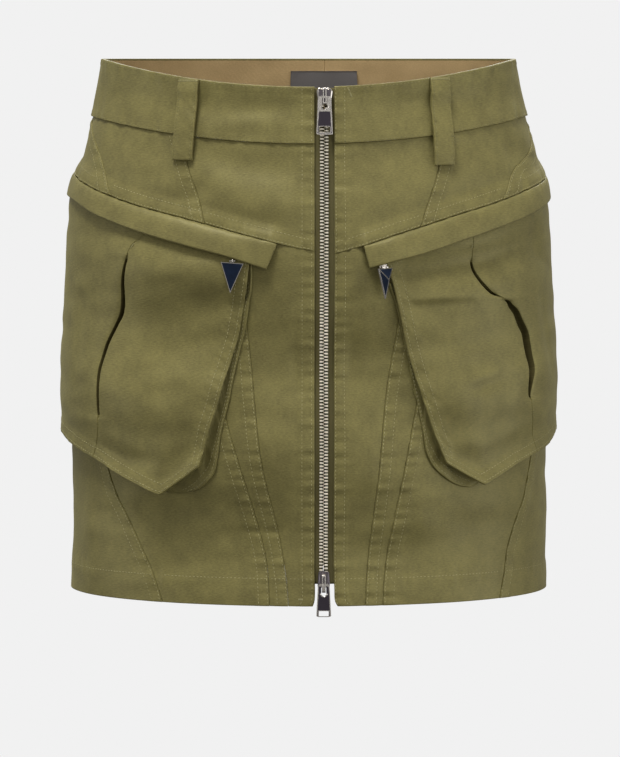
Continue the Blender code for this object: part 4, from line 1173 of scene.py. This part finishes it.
def make_pocket_face(side):
    name, place, inside = f"pocket_face_{side}", pocket_place(side), {}
    pleat, opening = curve(POCKET_PLEAT[side]), curve(PLEAT_OPEN[side])
    width, length = POCKET_SIZE

    def from_front(across):
        """Columns run with the angle, a pocket's own share from its front edge to its rear."""
        return 1 - across if side == "right" else across

    def beside_pleat(across):
        """Distance from the middle of the pleat before it opens, positive to the rear."""
        return (from_front(across) - PLEAT_PLACE) * width

    def opened(across, down):
        """The pocket's face with its columns drawn apart round the open pleat."""
        angle, height, out = place(from_front(across), down)
        flat = np.abs(beside_pleat(across))
        scale = metres_per_degree(angle, height)
        upright = scale / lean(pleat, height, MM, scale)
        apart = (angle - pleat(height)) * upright
        half = np.maximum(opening(height), 0) / 2 + PLEAT_LIP
        lip = PLEAT_LIP * np.abs(apart) / np.maximum(flat, NOT_ZERO)
        beyond = np.maximum(np.abs(apart) - lip, 0)
        moved = np.where(flat < PLEAT_LIP, half * flat / PLEAT_LIP,
                         np.abs(apart) + (half - lip) * np.exp(-beyond / PLEAT_DRAWN))
        return pleat(height) + np.sign(apart) * moved / upright, height, out

    def relief(angle, height, reach, across, down):
        flat = np.abs(beside_pleat(across))
        gap = np.maximum(opening(height), 0)
        spread = smooth_step(gap / PLEAT_OPENS)
        room = (stand_of_face(PLEAT_PLACE, down) + pocket_folds(side, angle, height)
                - folds(angle, height))
        depth = PLEAT_FLAT + (np.clip(room - PLEAT_FLOOR, MM, PLEAT_DEPTH) - PLEAT_FLAT) * spread
        groove = depth * (1 - smooth_step((flat - PLEAT_LIP + PLEAT_WALL) / PLEAT_WALL))
        # Marks the faces deep in the open pleat, which get painted shade.
        inside["pleat"] = (flat < PLEAT_LIP + PLEAT_SHADED) & (gap > PLEAT_SHUT)
        rise, lip_place, lip_half = PLEAT_LIPS
        sink, reach_out = PLEAT_SINKS
        beside_lip = flat - PLEAT_LIP
        lips = rise * bell(beside_lip - lip_place, lip_half)
        return spread * (lips - sink * np.exp(-np.maximum(beside_lip, 0) / reach_out)) - groove

    pleat_at, beside = PLEAT_PLACE * width, np.array(PLEAT_LINES)
    columns = spaced(width, POCKET_STEP, np.concatenate([pleat_at - beside, [pleat_at],
                                                    pleat_at + beside]))
    near, far = ("left", "right") if side == "left" else ("right", "left")
    edges = {near: (POCKET_ROLL, POCKET_FRONT_ROWS, POCKET_HEM), far: (POCKET_REAR_ROLL, (), 0),
             "top": (POCKET_TOP_ROLL, (), 0),
             "bottom": (POCKET_ROLL, POCKET_LOWER_ROWS, POCKET_HEM)}
    outer, normals, _ = patch(name, opened, np.sort(from_front(columns)),
                              spaced(length, POCKET_STEP), POCKET_CLOTH, edges, relief,
                              group=f"pocket_{side}", materials=[TWILL, PLEAT_PAINTED_SHADE, TWILL_BACK])
    # Painted shade on the marked faces inside the open pleat.
    paint_outer(name, inside["pleat"], 1)
    for height, stitches in PLEAT_TACKS[side]:
        tack(outer, normals, on_form(pleat(height), height, PLEAT_TACK_OUT), PLEAT_TACK_LENGTH,
             stitches)


def tack(points, normals, here, length, stitches):
    """Bar of close stitches at the place on a grid that is nearest to a point."""
    nearest = np.argmin(np.linalg.norm(points - here, axis=-1))
    start, outwards = points.reshape(-1, 3)[nearest], normals.reshape(-1, 3)[nearest]
    along = unit(TACK_WAY - outwards * outwards.dot(TACK_WAY))
    beside = np.cross(outwards, along)
    for shift in (-TACK_APART, TACK_APART):
        line = (start + outwards * TACK_PROUD + beside * shift
                + along * np.linspace(-length / 2, length / 2, 6)[:, None])
        sew_bar(line, np.broadcast_to(outwards, line.shape), length / (stitches + 0.5))


GUSSET_SEAM = {
    "right": table(ANGLE_HEIGHT,
        -13.3, -117, -13.6, -135, -14.9, -160, -17.1, -184.6, -19, -212, -20.6, -232,
        -21.4, -248, -22.6, -260.5, -26.7, -270.8, -32.5, -274),
    "left": table(ANGLE_HEIGHT,
        17.3, -119, 19.6, -135, 22, -160, 24.2, -185, 26.2, -211, 27.6, -232, 28.4, -246,
        31, -257.5, 36.6, -268, 42.7, -271.6),
}
GUSSET_CORNER = 7
GUSSET_GAP, GUSSET_CLOTH = 0.0008, 0.0012
GUSSET_INSET = 0.0030
GUSSET_TUCKED = 0.0026        # how far under the face the strip turns up
GUSSET_CREASE = 2.2           # how sharply it does so
GUSSET_TUCK = 0.0020
GUSSET_START, GUSSET_STEPS, GUSSET_REAR_STATIONS = 0.075, 9, 60
GUSSET_ROWS = (0.0022, 0.0062)
GUSSET_WIDTH, GUSSET_STEP = 0.018, 0.0010
GUSSET_FOLD, GUSSET_HOLLOW, GUSSET_PUCKER = 0.0016, 0.0004, 0.0003
GUSSET_SMOOTHING = 4          # times the strip's edges are smoothed
GUSSET_FOLD_HALF, GUSSET_HOLLOW_AT, GUSSET_HOLLOW_HALF = 1.5, 3, 2    # in stations
GUSSET_REAR = (0.96, 0.25, 20)    # places down the rear, first to last, and how many
GUSSET_TUCK_SHARE, GUSSET_EDGE_GAP, GUSSET_WALL = 0.2, 0.4, 0.9
POCKET_MIDDLE = (62.0, -0.185, 0.008)


def make_gusset(side):
    """Bellows strip between the edge of the face and the skirt."""
    sign, find, seam = SIDES[side], pocket_place(side), GUSSET_SEAM[side]
    corner, stations = GUSSET_CORNER * GUSSET_STEPS, (len(seam) - 1) * GUSSET_STEPS
    point_place = STAND_PLACES[1]
    seam = np.column_stack([np.arange(len(seam)), seam])
    k = np.arange(stations + 1)
    across = np.where(k <= corner, 0.0, point_place * (k - corner) / (stations - corner))
    down = np.where(k <= corner, GUSSET_START + (1 - GUSSET_START) * k / corner, 1.0)
    rear = np.arange(1, GUSSET_REAR_STATIONS + 1)
    up = np.linspace(*GUSSET_REAR)
    front_part = find(across, down)
    low_part = find(point_place + (1 - point_place) * rear / GUSSET_REAR_STATIONS, 1.0 + 0 * rear)
    rear_part = find(1.0 + 0 * up, up)
    tuck = GUSSET_TUCK * np.minimum(1.0, rear / (GUSSET_TUCK_SHARE * GUSSET_REAR_STATIONS))
    face = [np.concatenate(parts) for parts in zip(front_part, low_part, rear_part)]
    feet = [np.concatenate([curve(seam, 1)(k / GUSSET_STEPS), low_part[0],
                            rear_part[0] - sign * GUSSET_TUCK / metres_per_degree(
                                *rear_part[:2])]),
            np.concatenate([curve(seam, 2)(k / GUSSET_STEPS), low_part[1] + tuck, rear_part[1]])]
    for values in face + feet:
        for _ in range(GUSSET_SMOOTHING):
            values[1:-1] = 0.5 * values[1:-1] + 0.25 * (values[:-2] + values[2:])

    def over_skirt(angle, height):
        return on_form(angle, height, GUSSET_GAP + GUSSET_CLOTH + folds(angle, height))
    edge = on_form(face[0], face[1], face[2] - POCKET_CLOTH - GUSSET_GAP * GUSSET_EDGE_GAP)
    foot = over_skirt(*feet)
    inwards = on_form(sign * POCKET_MIDDLE[0], *POCKET_MIDDLE[1:]) - edge
    line = unit(edge - foot)
    inwards = unit(inwards - (inwards * line).sum(axis=-1, keepdims=True) * line)
    tuck_in = over_skirt(*face[:2]) + GUSSET_TUCKED * inwards
    edge = edge + GUSSET_INSET * inwards
    t = spaced(GUSSET_WIDTH, GUSSET_STEP)[:, None, None]
    weights = (1 - t) ** 2, 2 * GUSSET_CREASE * t * (1 - t), t ** 2
    outer = (weights[0] * edge + weights[1] * tuck_in + weights[2] * foot) / sum(weights)
    along = np.concatenate([[0], np.cumsum(np.linalg.norm(np.diff(foot, axis=0), axis=-1))])
    share = t[..., 0]
    station = np.arange(len(face[0])) - (corner - 1 + 5 * share)
    fold = (GUSSET_FOLD * bell(station, GUSSET_FOLD_HALF)
            - GUSSET_HOLLOW * bell(station + GUSSET_HOLLOW_AT, GUSSET_HOLLOW_HALF))
    normals, reach = grid_normals(outer), edge_reach(outer)
    lift = ((fold + GUSSET_PUCKER * ripple(along, 3.0)[None, :]) * np.sin(pi * share) ** 0.5
            - rounding(reach["bottom"], WRONG_SIDE_ROLL))
    outer = outer + normals * lift[..., None]
    uv = np.stack([along[None, :] + 0 * share, reach["top"]], axis=-1)
    shell(f"pocket_gusset_{side}", outer, outer - normals * (GUSSET_CLOTH * GUSSET_WALL),
          [TWILL, TWILL_BACK], uv)
    for distance in GUSSET_ROWS:
        sew(f"pocket_{side}", *(v[6:stations - 4] for v in line_in_grid(
            outer, normals, reach, "bottom", distance)))


# ---- pocket flaps

# Angle, height and distance out of a flap's lower edge.
FLAP_LOWER_EDGE = {
    "right": table((1, MM, MM),
        -106, -74.5, 6, -90, -74.5, 6.2, -72.5, -77.5, 7.4, -58, -86.2, 10, -42.2, -96.8, 10.8,
        -25.3, -107.9, 11, -17.4, -113.5, 10.8, -9.6, -121.2, 7.2),
    "left": table((1, MM, MM),
        13.9, -120.5, 8, 19.1, -116.2, 11, 27, -110.9, 10.6, 40, -100.6, 10, 55.2, -91.1, 9,
        75.1, -80.8, 6.6, 90, -76.5, 5.8, 106, -75.5, 5.6),
}
FLAP_REAR, FLAP_CURVE = 108.0, 0.33
FLAP_SEAM_STAND, FLAP_CLOTH = 0.0027, 0.0018
FLAP_SIZE, FLAP_STEPS = (0.215, 0.0195), (0.0016, 0.0011)
FLAP_PUCKER, FLAP_PUCKER_REACH, FLAP_SEED = 0.00025, 0.006, 5.0
FLAP_WAVE, FLAP_WAVES = 0.0003, 0.19
FLAP_ROLL, FLAP_TOP_ROLL, FLAP_FOLD_ROLL, FLAP_INNER_ROLL = 0.0009, 0.0004, 0.0010, 0.0006


def make_flap(side):
    sign, yoke = SIDES[side], curve(YOKE_SEAM[side])
    lower, stand = (curve(FLAP_LOWER_EDGE[side], column) for column in (1, 2))
    above, below = FLAP_FRONT_END[side]

    def place(across, down):
        front = above + (below - above) * down
        angle = front + (sign * FLAP_REAR - front) * (across if sign > 0 else 1 - across)
        top = yoke(angle) - PANEL_GAP
        out = FLAP_SEAM_STAND + (stand(angle) - FLAP_SEAM_STAND) * down ** FLAP_CURVE
        return (angle, top + (lower(angle) - top) * down,
                out + folds(angle, top) * (1 - 0.5 * down))

    def relief(angle, height, reach, across, down):
        return (FLAP_PUCKER * ripple(angle * RIPPLE_DEGREE, FLAP_SEED)
                * bell(reach["top"], FLAP_PUCKER_REACH)
                + FLAP_WAVE * np.sin(angle * FLAP_WAVES + 1.0) * down)

    edges = plain_edges(FLAP_ROLL, top=(FLAP_TOP_ROLL, (), 0), bottom=(FLAP_FOLD_ROLL, (), 0))
    patch(f"pocket_flap_{side}", place, *map(spaced, FLAP_SIZE, FLAP_STEPS), FLAP_CLOTH, edges,
          relief, inner_roll=FLAP_INNER_ROLL)


# ---- modelling hard pieces

SMOOTH_BELOW, SOFTEN_ABOVE = radians(32), radians(35)


def deselect():
    bpy.ops.object.select_all(action="DESELECT")


def settle(name, *finishes):
    """Name the primitive just added, give it its finishes, and put its place and size into its
    mesh."""
    piece = bpy.context.object
    piece.name = piece.data.name = name
    bpy.ops.object.transform_apply(location=True, rotation=True, scale=True)
    for finish in finishes:
        piece.data.materials.append(finish)
    return piece


def add_box(name, low, high, *finishes):
    deselect()
    bpy.ops.mesh.primitive_cube_add(size=1.0, location=[(a + b) / 2 for a, b in zip(low, high)])
    bpy.context.object.scale = [b - a for a, b in zip(low, high)]
    return settle(name, *finishes)


def add_rod(name, radius, ends, *finishes):
    """A rod between two points."""
    deselect()
    a, b = Vector(ends[0]), Vector(ends[1])
    bpy.ops.mesh.primitive_cylinder_add(vertices=24, radius=radius, depth=(b - a).length,
                                        location=(a + b) / 2,
                                        rotation=(b - a).to_track_quat("Z", "Y").to_euler())
    return settle(name, *finishes)


def add_ring(name, radius, wire_radius, middle, turn, sides, *finishes):
    deselect()
    bpy.ops.mesh.primitive_torus_add(major_radius=radius, minor_radius=wire_radius,
                                     major_segments=32, minor_segments=sides, location=middle,
                                     rotation=turn)
    return settle(name, *finishes)


def pick(piece, test, kind="faces"):
    """Go into edit mode with the faces or edges that pass a test selected: a face by its middle
    and normal, an edge by its middle and direction."""
    bpy.context.view_layer.objects.active = piece
    bpy.ops.object.mode_set(mode="EDIT")
    bpy.ops.mesh.select_mode(type="FACE" if kind == "faces" else "EDGE")
    bpy.ops.mesh.select_all(action="DESELECT")
    net = bmesh.from_edit_mesh(piece.data)
    for part in getattr(net, kind):
        if kind == "faces":
            part.select = test(part.calc_center_median(), part.normal)
        else:
            a, b = part.verts
            part.select = test((a.co + b.co) / 2, (b.co - a.co).normalized())
    net.select_flush_mode()
    bmesh.update_edit_mesh(piece.data)


def leave_edit():
    bpy.ops.object.mode_set(mode="OBJECT")


def paint_picked(piece, slot):
    """Give the picked faces the piece's material of a slot, and leave edit mode."""
    piece.active_material_index = slot
    bpy.ops.object.material_slot_assign()
    leave_edit()


def resize_picked(piece, test, *factors):
    pick(piece, test)
    bpy.ops.transform.resize(value=factors)
    leave_edit()


def bevel_edges(piece, radius, test, segments=4):
    pick(piece, test, "edges")
    bpy.ops.mesh.bevel(offset=radius, segments=segments, affect="EDGES")
    leave_edit()


SAME_WAY = 0.9                # how nearly one direction has to run along another


def round_corners(piece, radius, test, segments=4):
    """Round the edges that run front to back and pass a test on their middle."""
    bevel_edges(piece, radius, lambda c, d: abs(d.y) > SAME_WAY and test(c), segments)


def facing(*way):
    """Test for the faces that look one way."""
    return lambda c, n: n.dot(Vector(way)) > SAME_WAY


def apply(piece, kind, **settings):
    bpy.context.view_layer.objects.active = piece
    step = piece.modifiers.new(kind.lower(), kind)
    for name, value in settings.items():
        setattr(step, name, value)
    bpy.ops.object.modifier_apply(modifier=step.name)


def cut(piece, tool):
    """Cut away another shape, which is then gone."""
    apply(piece, "BOOLEAN", object=tool, operation="DIFFERENCE", solver="EXACT",
          material_mode="TRANSFER")
    bpy.data.objects.remove(tool, do_unlink=True)


def join(piece, *others):
    """Make other shapes part of a piece."""
    deselect()
    for part in (piece, *others):
        part.select_set(True)
    bpy.context.view_layer.objects.active = piece
    bpy.ops.object.join()


def soften(piece, width, segments=2):
    apply(piece, "BEVEL", width=width, segments=segments, limit_method="ANGLE",
          angle_limit=SOFTEN_ABOVE)


def finish_piece(piece, place, body, node):
    """Put a piece modelled about its own hinge in its place on the skirt."""
    piece.data.transform(place)
    deselect()
    piece.select_set(True)
    bpy.context.view_layer.objects.active = piece
    bpy.ops.object.shade_smooth_by_angle(angle=SMOOTH_BELOW)
    apply(piece, "WEIGHTED_NORMAL", keep_sharp=True)
    enter(piece, [node], body)


# ---- zip

TAPE_WIDTH, TAPE_CLOTH, TAPE_END = 0.0130, 0.0008, -0.3340
TAPE_OUT = -0.0021
CHAIN_WIDTH, CHAIN_OUT = 0.0056, -0.0004
TAPE_BEAD, TAPE_BEAD_PLACE, TAPE_BEAD_HALF = 0.00036, 0.0012, 0.0009
TAPE_GRAIN, TAPE_GRAIN_PITCH = 0.00008, 0.0011
TAPE_LINES = (240, 18)
TOOTH_PITCH = 0.0022
TOOTH = (0.0019, 0.0011, 0.00054)      # its waist's length, and half its depth and height
TOOTH_HEAD, TOOTH_EDGE = 0.0010, 0.00022
SLIDER_FRONT, SLIDER_DEPTH = 0.0024, 0.0053
HINGE_LIFT = 0.0012
# Height of the hinge, of the slider's top and bottom, and the slider's width.
SLIDERS = {"top": (-0.0058, 0.0006, -0.0106, 0.0116),
           "bottom": (-0.3338, -0.3250, -0.3358, 0.0084)}
SLIDER_TAPER = {"top": 0.66, "bottom": 0.84}     # width of the narrow end to the wide one
SLIDER_SHOULDER = {"top": 0.0032, "bottom": 0.0017}
SLIDER_HEEL, SLIDER_NOSE, SLIDER_EDGE = 0.0009, 0.0012, 0.0003
SLIDER_RIMS = ((0.0006, 0.0002), (0.0005, -0.0004))     # width and rise of the rims in its face
BAIL_HALF, BAIL_FRONT, BAIL_BAR, BAIL_SLIT = 0.0013, -0.0023, 0.0009, 0.00045
BAIL_ROUND, BAIL_EDGE = 0.0011, 0.00018
BAIL_SOLID = {"top": 0.0005, "bottom": 0.0032}    # uncut length above each bail's lower foot
# Where each bail's two feet stand, above and below the hinge.
BAIL_FEET = {"top": (0.0054, -0.0042), "bottom": (0.0061, -0.0044)}
FAR = 0.01                                        # past the far side of any small piece
# For each pull: widths above and below, length, middle and radius of its eye, start of its sunk
# panel, and ends and half width of its window, all down from the hinge.
PULLS = {
    "top": (0.0088, 0.0110, 0.0260, 0.0062, 0.0020, 0.0098, (0.0200, 0.0240, 0.0036)),
    "bottom": (0.0078, 0.0100, 0.0222, 0.0060, 0.0018, 0.0012, (0.0178, 0.0214, 0.0033)),
}
PULL_HALF = 0.0008            # half the thickness of the plate
PULL_TOP, PULL_FOOT = 0.0006, 0.0013
PULL_EDGE = 0.0006            # the bright edge left round the sunk panel
PULL_SUNK = 0.00028
EYE_LIP = 0.0004              # half the thickness of the bright lip under the eye
PULL_SLOT = 0.0017
WINDOW_EDGING = 0.0004
PULL_THROUGH = 0.003          # past both faces of the plate
PULL_SHOULDER, PULL_HEEL, PULL_SOFT = 0.0017, 0.0009, 0.0002
WINDOW_ROUND, WINDOW_SOFT = 0.0005, 0.00014


ZIP_TOP_ANGLE, ZIP_SLOPE_STEP = 4.0, 0.008
# The last value keeps the painted shadow of the teeth on the tape this far inside the chain's
# edge.
TAPE_DROP, TAPE_GAP, TAPE_PAINTED_SHADOW_EDGE = 0.0010, 0.0003, 0.0002
TOOTH_TIP = (1, 0.75, 0.7)    # size of a tooth's head to its waist
CHAIN_ENDS = (0.003, -0.002)  # up from the sliders' lower and upper end
SLIDER_NEAR, NOSE_ENDS = 0.0005, (-0.0020, 0.0022)
BAIL_BACK, BAIL_SLIT_END = 0.0006, 0.0005
PULL_PANEL_TAPER, PULL_BRIDGE = 0.97, 0.0013


def on_zip(sideways, height, out):
    """Angle and distance out of a place on the zip."""
    angle = angle_of_width(zip_centre(height) + sideways, height)
    return angle, out + folds(angle, height)


def zip_frame(height, out):
    """Place on the zip: its own Z runs up the slope of the skirt, its -Y straight out."""
    def here(at):
        return Vector(on_form(angle_of_width(zip_centre(at), at), at, out).tolist())
    up = here(height + ZIP_SLOPE_STEP) - here(height - ZIP_SLOPE_STEP)
    up = Vector((0, up.y, up.z)).normalized()
    turn = Matrix((Vector((1, 0, 0)), Vector((0, up.z, -up.y)), up)).transposed()
    return Matrix.Translation(here(height)) @ turn.to_4x4()


def make_tapes():
    top = waist_top(ZIP_TOP_ANGLE) - TAPE_DROP
    for side, sign in SIDES.items():
        height, sideways = np.meshgrid(np.linspace(top, TAPE_END, TAPE_LINES[0]),
                                       sign * np.linspace(TAPE_GAP, TAPE_WIDTH, TAPE_LINES[1]),
                                       indexing="ij")
        across = np.abs(sideways)
        angle, out = on_zip(sideways, height, TAPE_OUT)
        face = (out + TAPE_BEAD * bell(across - TAPE_BEAD_PLACE, TAPE_BEAD_HALF)
                + TAPE_GRAIN * np.sin(across * 2 * pi / TAPE_GRAIN_PITCH))
        shell(f"zip_tape_{side}", on_form(angle, height, face),
              on_form(angle, height, out - TAPE_CLOTH), [TAPE, TAPE_PAINTED_SHADOW, TAPE],
              np.stack([sideways, height], axis=-1))
        # Painted shadow of the teeth on the tape under the chain.
        paint_outer(f"zip_tape_{side}", across < CHAIN_WIDTH / 2 - TAPE_PAINTED_SHADOW_EDGE, 1)


def make_tooth():
    """One tooth along +X from its root: waist, then a rounded head."""
    length, depth, height = TOOTH
    tooth = add_box("tooth", (0.0, -depth, -height), (length, depth, height))
    pick(tooth, facing(1, 0, 0))
    bpy.ops.mesh.inset(thickness=TOOTH_EDGE, depth=0.0)
    bpy.ops.mesh.extrude_region_move(TRANSFORM_OT_translate={"value": (TOOTH_HEAD, 0, 0)})
    bpy.ops.transform.resize(value=TOOTH_TIP)
    leave_edit()
    soften(tooth, TOOTH_EDGE, segments=1)
    net = bmesh.new()
    net.from_mesh(tooth.data)
    bmesh.ops.triangulate(net, faces=net.faces[:])
    points = np.array([v.co[:] for v in net.verts])
    faces = np.array([[v.index for v in f.verts] for f in net.faces])
    net.free()
    bpy.data.objects.remove(tooth, do_unlink=True)
    return points, faces


def make_chain():
    """Staggered metal teeth in two columns between the sliders."""
    points, faces = make_tooth()
    top, bottom = SLIDERS["top"][2] + CHAIN_ENDS[0], SLIDERS["bottom"][1] + CHAIN_ENDS[1]
    rows = []
    for sign in SIDES.values():
        levels = np.arange(top - (TOOTH_PITCH / 2 if sign > 0 else 0), bottom, -TOOTH_PITCH)
        angle, out = on_zip(0.0 * levels, levels, CHAIN_OUT)
        centre = on_form(angle, levels, out)
        over = unit(on_form(angle_of_width(zip_centre(levels) + MM, levels), levels, out)
                    - centre)
        up = -unit(np.gradient(centre, axis=0))
        shape = points.copy()
        shape[:, 0] = sign * (CHAIN_WIDTH / 2 - shape[:, 0])
        rows.append((shape, faces if sign < 0 else faces[:, ::-1], centre,
                     (over, unit(np.cross(up, over)), up), 1.0))
    chain = make_copies("zip_teeth", rows, TEETH)
    close_and_turn(chain.data)
    chain.data.shade_flat()
    enter(chain, ["zip_chain"], "skirt")


def make_slider(which):
    """Shield-shaped slider with its bail, modelled about the hinge of its pull."""
    hinge, top, bottom, width = SLIDERS[which]
    high, low, half = top - hinge, bottom - hinge, width / 2
    # The bottom slider is all darker nickel, and the top slider's sunk face too: painted dark
    # reflection.
    body = add_box(f"slider_{which}", (-half, HINGE_LIFT, low), (half, SLIDER_DEPTH, high),
                   NICKEL if which == "top" else NICKEL_PAINTED_DARK, NICKEL_PAINTED_DARK)
    narrow_end = facing(0, 0, -1 if which == "top" else 1)
    resize_picked(body, narrow_end, SLIDER_TAPER[which], 1, 1)
    round_corners(body, SLIDER_SHOULDER[which], lambda c: c.z > 0, segments=6)
    round_corners(body, SLIDER_HEEL, lambda c: c.z < low + SLIDER_NEAR, segments=3)
    pick(body, facing(0, -1, 0))
    for rim, rise in SLIDER_RIMS:
        bpy.ops.mesh.inset(thickness=rim, depth=rise)
    # The sunk face takes the darker nickel: painted dark reflection.
    paint_picked(body, 1)
    nose = high + SLIDER_EDGE
    cut(body, add_rod("nose", SLIDER_NOSE, tuple((0, end, nose) for end in NOSE_ENDS)))
    soften(body, SLIDER_EDGE)
    above, below = BAIL_FEET[which]
    bail = add_box("bail", (-BAIL_HALF, BAIL_FRONT, below - BAIL_BAR),
                   (BAIL_HALF, HINGE_LIFT + BAIL_BACK, above + BAIL_BAR), NICKEL)
    bevel_edges(bail, BAIL_ROUND, lambda c, d: abs(d.x) > SAME_WAY and c.y < 0)
    under = add_box("under", (-FAR, BAIL_FRONT + BAIL_BAR, below), (FAR, FAR, above), NICKEL)
    slit = add_box("slit", (-BAIL_SLIT, -FAR, below + BAIL_SOLID[which]),
                   (BAIL_SLIT, FAR, above - BAIL_SLIT_END), NICKEL)
    cut(bail, under)
    cut(bail, slit)
    soften(bail, BAIL_EDGE)
    join(body, bail)
    finish_piece(body, zip_frame(hinge, SLIDER_FRONT + HINGE_LIFT), "skirt",
                 f"zip_slider_{which}")


def make_zip_pull(which):
    """Tapered plate: a slot and eye for the bail, a sunk dark panel, and a window below it."""
    upper, lower, length, eye, eye_radius, panel, window = PULLS[which]
    window_top, window_foot, window_half = window
    half, through, inner = PULL_HALF, PULL_THROUGH, upper / 2 - PULL_EDGE
    pull = add_box(f"pull_{which}", (-upper / 2, -half, PULL_TOP - length),
                   (upper / 2, half, PULL_TOP), NICKEL, RECESS)
    resize_picked(pull, facing(0, 0, -1), lower / upper, 1, 1)
    round_corners(pull, PULL_SHOULDER, lambda c: c.z > 0, segments=5)
    round_corners(pull, PULL_HEEL, lambda c: c.z < 0)
    sunk = add_box("sunk", (-inner, -through, PULL_FOOT - length),
                   (inner, PULL_SUNK - half, -panel), NICKEL, RECESS)
    resize_picked(sunk, facing(0, 0, -1),
                  (lower - 2 * PULL_EDGE) / (2 * inner) * PULL_PANEL_TAPER, 1, 1)
    pick(sunk, facing(0, 1, 0))
    paint_picked(sunk, 1)
    cut(pull, sunk)
    outer = window_half + WINDOW_EDGING
    edging = add_box("edging", (-outer, -half, -window_foot - WINDOW_EDGING),
                     (outer, half, WINDOW_EDGING - window_top), NICKEL)
    for piece in (pull, edging):
        opening = add_box("window", (-window_half, -through, -window_foot),
                          (window_half, through, -window_top), NICKEL)
        round_corners(opening, WINDOW_ROUND, lambda c: True, segments=2)
        cut(piece, opening)
    soften(edging, WINDOW_SOFT)
    cut(pull, add_box("slot", (-PULL_SLOT, -through, -eye),
                      (PULL_SLOT, through, PULL_TOP - PULL_BRIDGE), NICKEL))
    cut(pull, add_rod("eye", eye_radius, ((0, -through, -eye), (0, through, -eye)), NICKEL))
    soften(pull, PULL_SOFT)
    lip = add_ring("lip", eye_radius + EYE_LIP, EYE_LIP, (0, -half, -eye), (pi / 2, 0, 0), 10,
                   NICKEL)
    pick(lip, lambda c, n: True)
    bpy.ops.mesh.bisect(plane_co=(0, 0, -eye), plane_no=(0, 0, 1), use_fill=True,
                        clear_outer=True)
    leave_edit()
    join(pull, lip, edging)
    finish_piece(pull, zip_frame(SLIDERS[which][0], SLIDER_FRONT + HINGE_LIFT),
                 f"{which}_zip_pull", f"zip_pull_{which}")


# ---- pocket pulls

# Angle, height and distance out of the hinge, the pull's turn about its own length, and how far
# it hangs askew.
POCKET_PULLS = {"right": (-17.4, -0.1154, 0.0100, 0.0, 4.0),
                "left": (17.3, -0.1190, 0.0122, -139.0, 0.0)}
PULL_BASE_HALF, PULL_TRIANGLE, TRIANGLE_TOP = 0.0079, 0.0205, -0.00126
PULL_RIM, PULL_APEX = 0.0010, 0.0030
ENAMEL_EDGE = 0.00045         # metal left bare round each enamelled face
ENAMEL_SUNK = -0.0001
LINK_RADIUS, LINK_WIRE = 0.0011, 0.0004
LUG_HALF, LUG_DEEP = 0.0012, 0.0004
ENAMEL_BEHIND = 0.8           # width of the bare edge behind to that in front


def pocket_pull_frame(side):
    angle, height, out, turn, askew = POCKET_PULLS[side]
    here = Vector(on_form(angle, height, out).tolist())
    outwards = (Vector(on_form(angle, height, out + OUTWARDS).tolist()) - here).normalized()
    up = Vector((0, 0, 1))
    axes = Matrix((up.cross(outwards), -outwards, up)).transposed()
    return (Matrix.Translation(here) @ axes.to_4x4() @ Matrix.Rotation(radians(askew), 4, "Y")
            @ Matrix.Rotation(radians(turn), 4, "Z"))


def make_pocket_pull(side):
    """Three-cornered enamelled pull on a wire link: flat in front, a low pyramid behind."""
    deselect()
    bpy.ops.mesh.primitive_cylinder_add(vertices=3, radius=1.0, depth=1.0,
                                        rotation=(-pi / 2, 0, 0),
                                        location=(0, 0, TRIANGLE_TOP - PULL_TRIANGLE / 3))
    bpy.context.object.scale = (PULL_BASE_HALF / sin(pi / 3), PULL_TRIANGLE / 1.5, PULL_RIM)
    pull = settle(f"enamel_pull_{side}", NICKEL, ENAMEL)
    pick(pull, facing(0, -1, 0))
    bpy.ops.mesh.inset(thickness=ENAMEL_EDGE, depth=ENAMEL_SUNK)
    paint_picked(pull, 1)
    pick(pull, facing(0, 1, 0))
    bpy.ops.mesh.poke(offset=PULL_APEX)
    bpy.ops.mesh.inset(thickness=ENAMEL_EDGE * ENAMEL_BEHIND, depth=ENAMEL_SUNK,
                       use_individual=True)
    paint_picked(pull, 1)
    join(pull, add_ring("link", LINK_RADIUS, LINK_WIRE, (0, 0, 0), (0, pi / 2, 0), 12, NICKEL))
    join(pull, add_box("lug", (-LUG_HALF, -PULL_RIM / 2, TRIANGLE_TOP - LUG_DEEP),
                       (LUG_HALF, PULL_RIM / 2, -LINK_RADIUS + LINK_WIRE / 2), NICKEL))
    finish_piece(pull, pocket_pull_frame(side), f"{side}_pocket_pull",
                 f"pocket_pull_{side}")


def make_staples():
    """The wire staples and their feet keep the solids' shape."""
    for side in SIDES:
        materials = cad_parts[f"pocket_staple_{side}"].data.materials
        materials.clear()
        materials.append(NICKEL)


def make_floor():
    """Pale floor far below the hem. It throws no light back."""
    deselect()
    bpy.ops.mesh.primitive_plane_add(size=FLOOR_SIZE, location=(0, 0, FLOOR))
    floor = settle("floor", paper_material())
    floor.visible_diffuse = floor.visible_glossy = floor.visible_shadow = False


make_camera()
make_world()
make_lights()
make_floor()
make_panels()
make_belt_loops()
make_panel_tacks()
make_label()
for pocket_side in SIDES:
    make_pocket_face(pocket_side)
    make_gusset(pocket_side)
    make_flap(pocket_side)
    make_pocket_pull(pocket_side)
make_tapes()
make_chain()
for end in SLIDERS:
    make_slider(end)
    make_zip_pull(end)
make_staples()
make_threads()
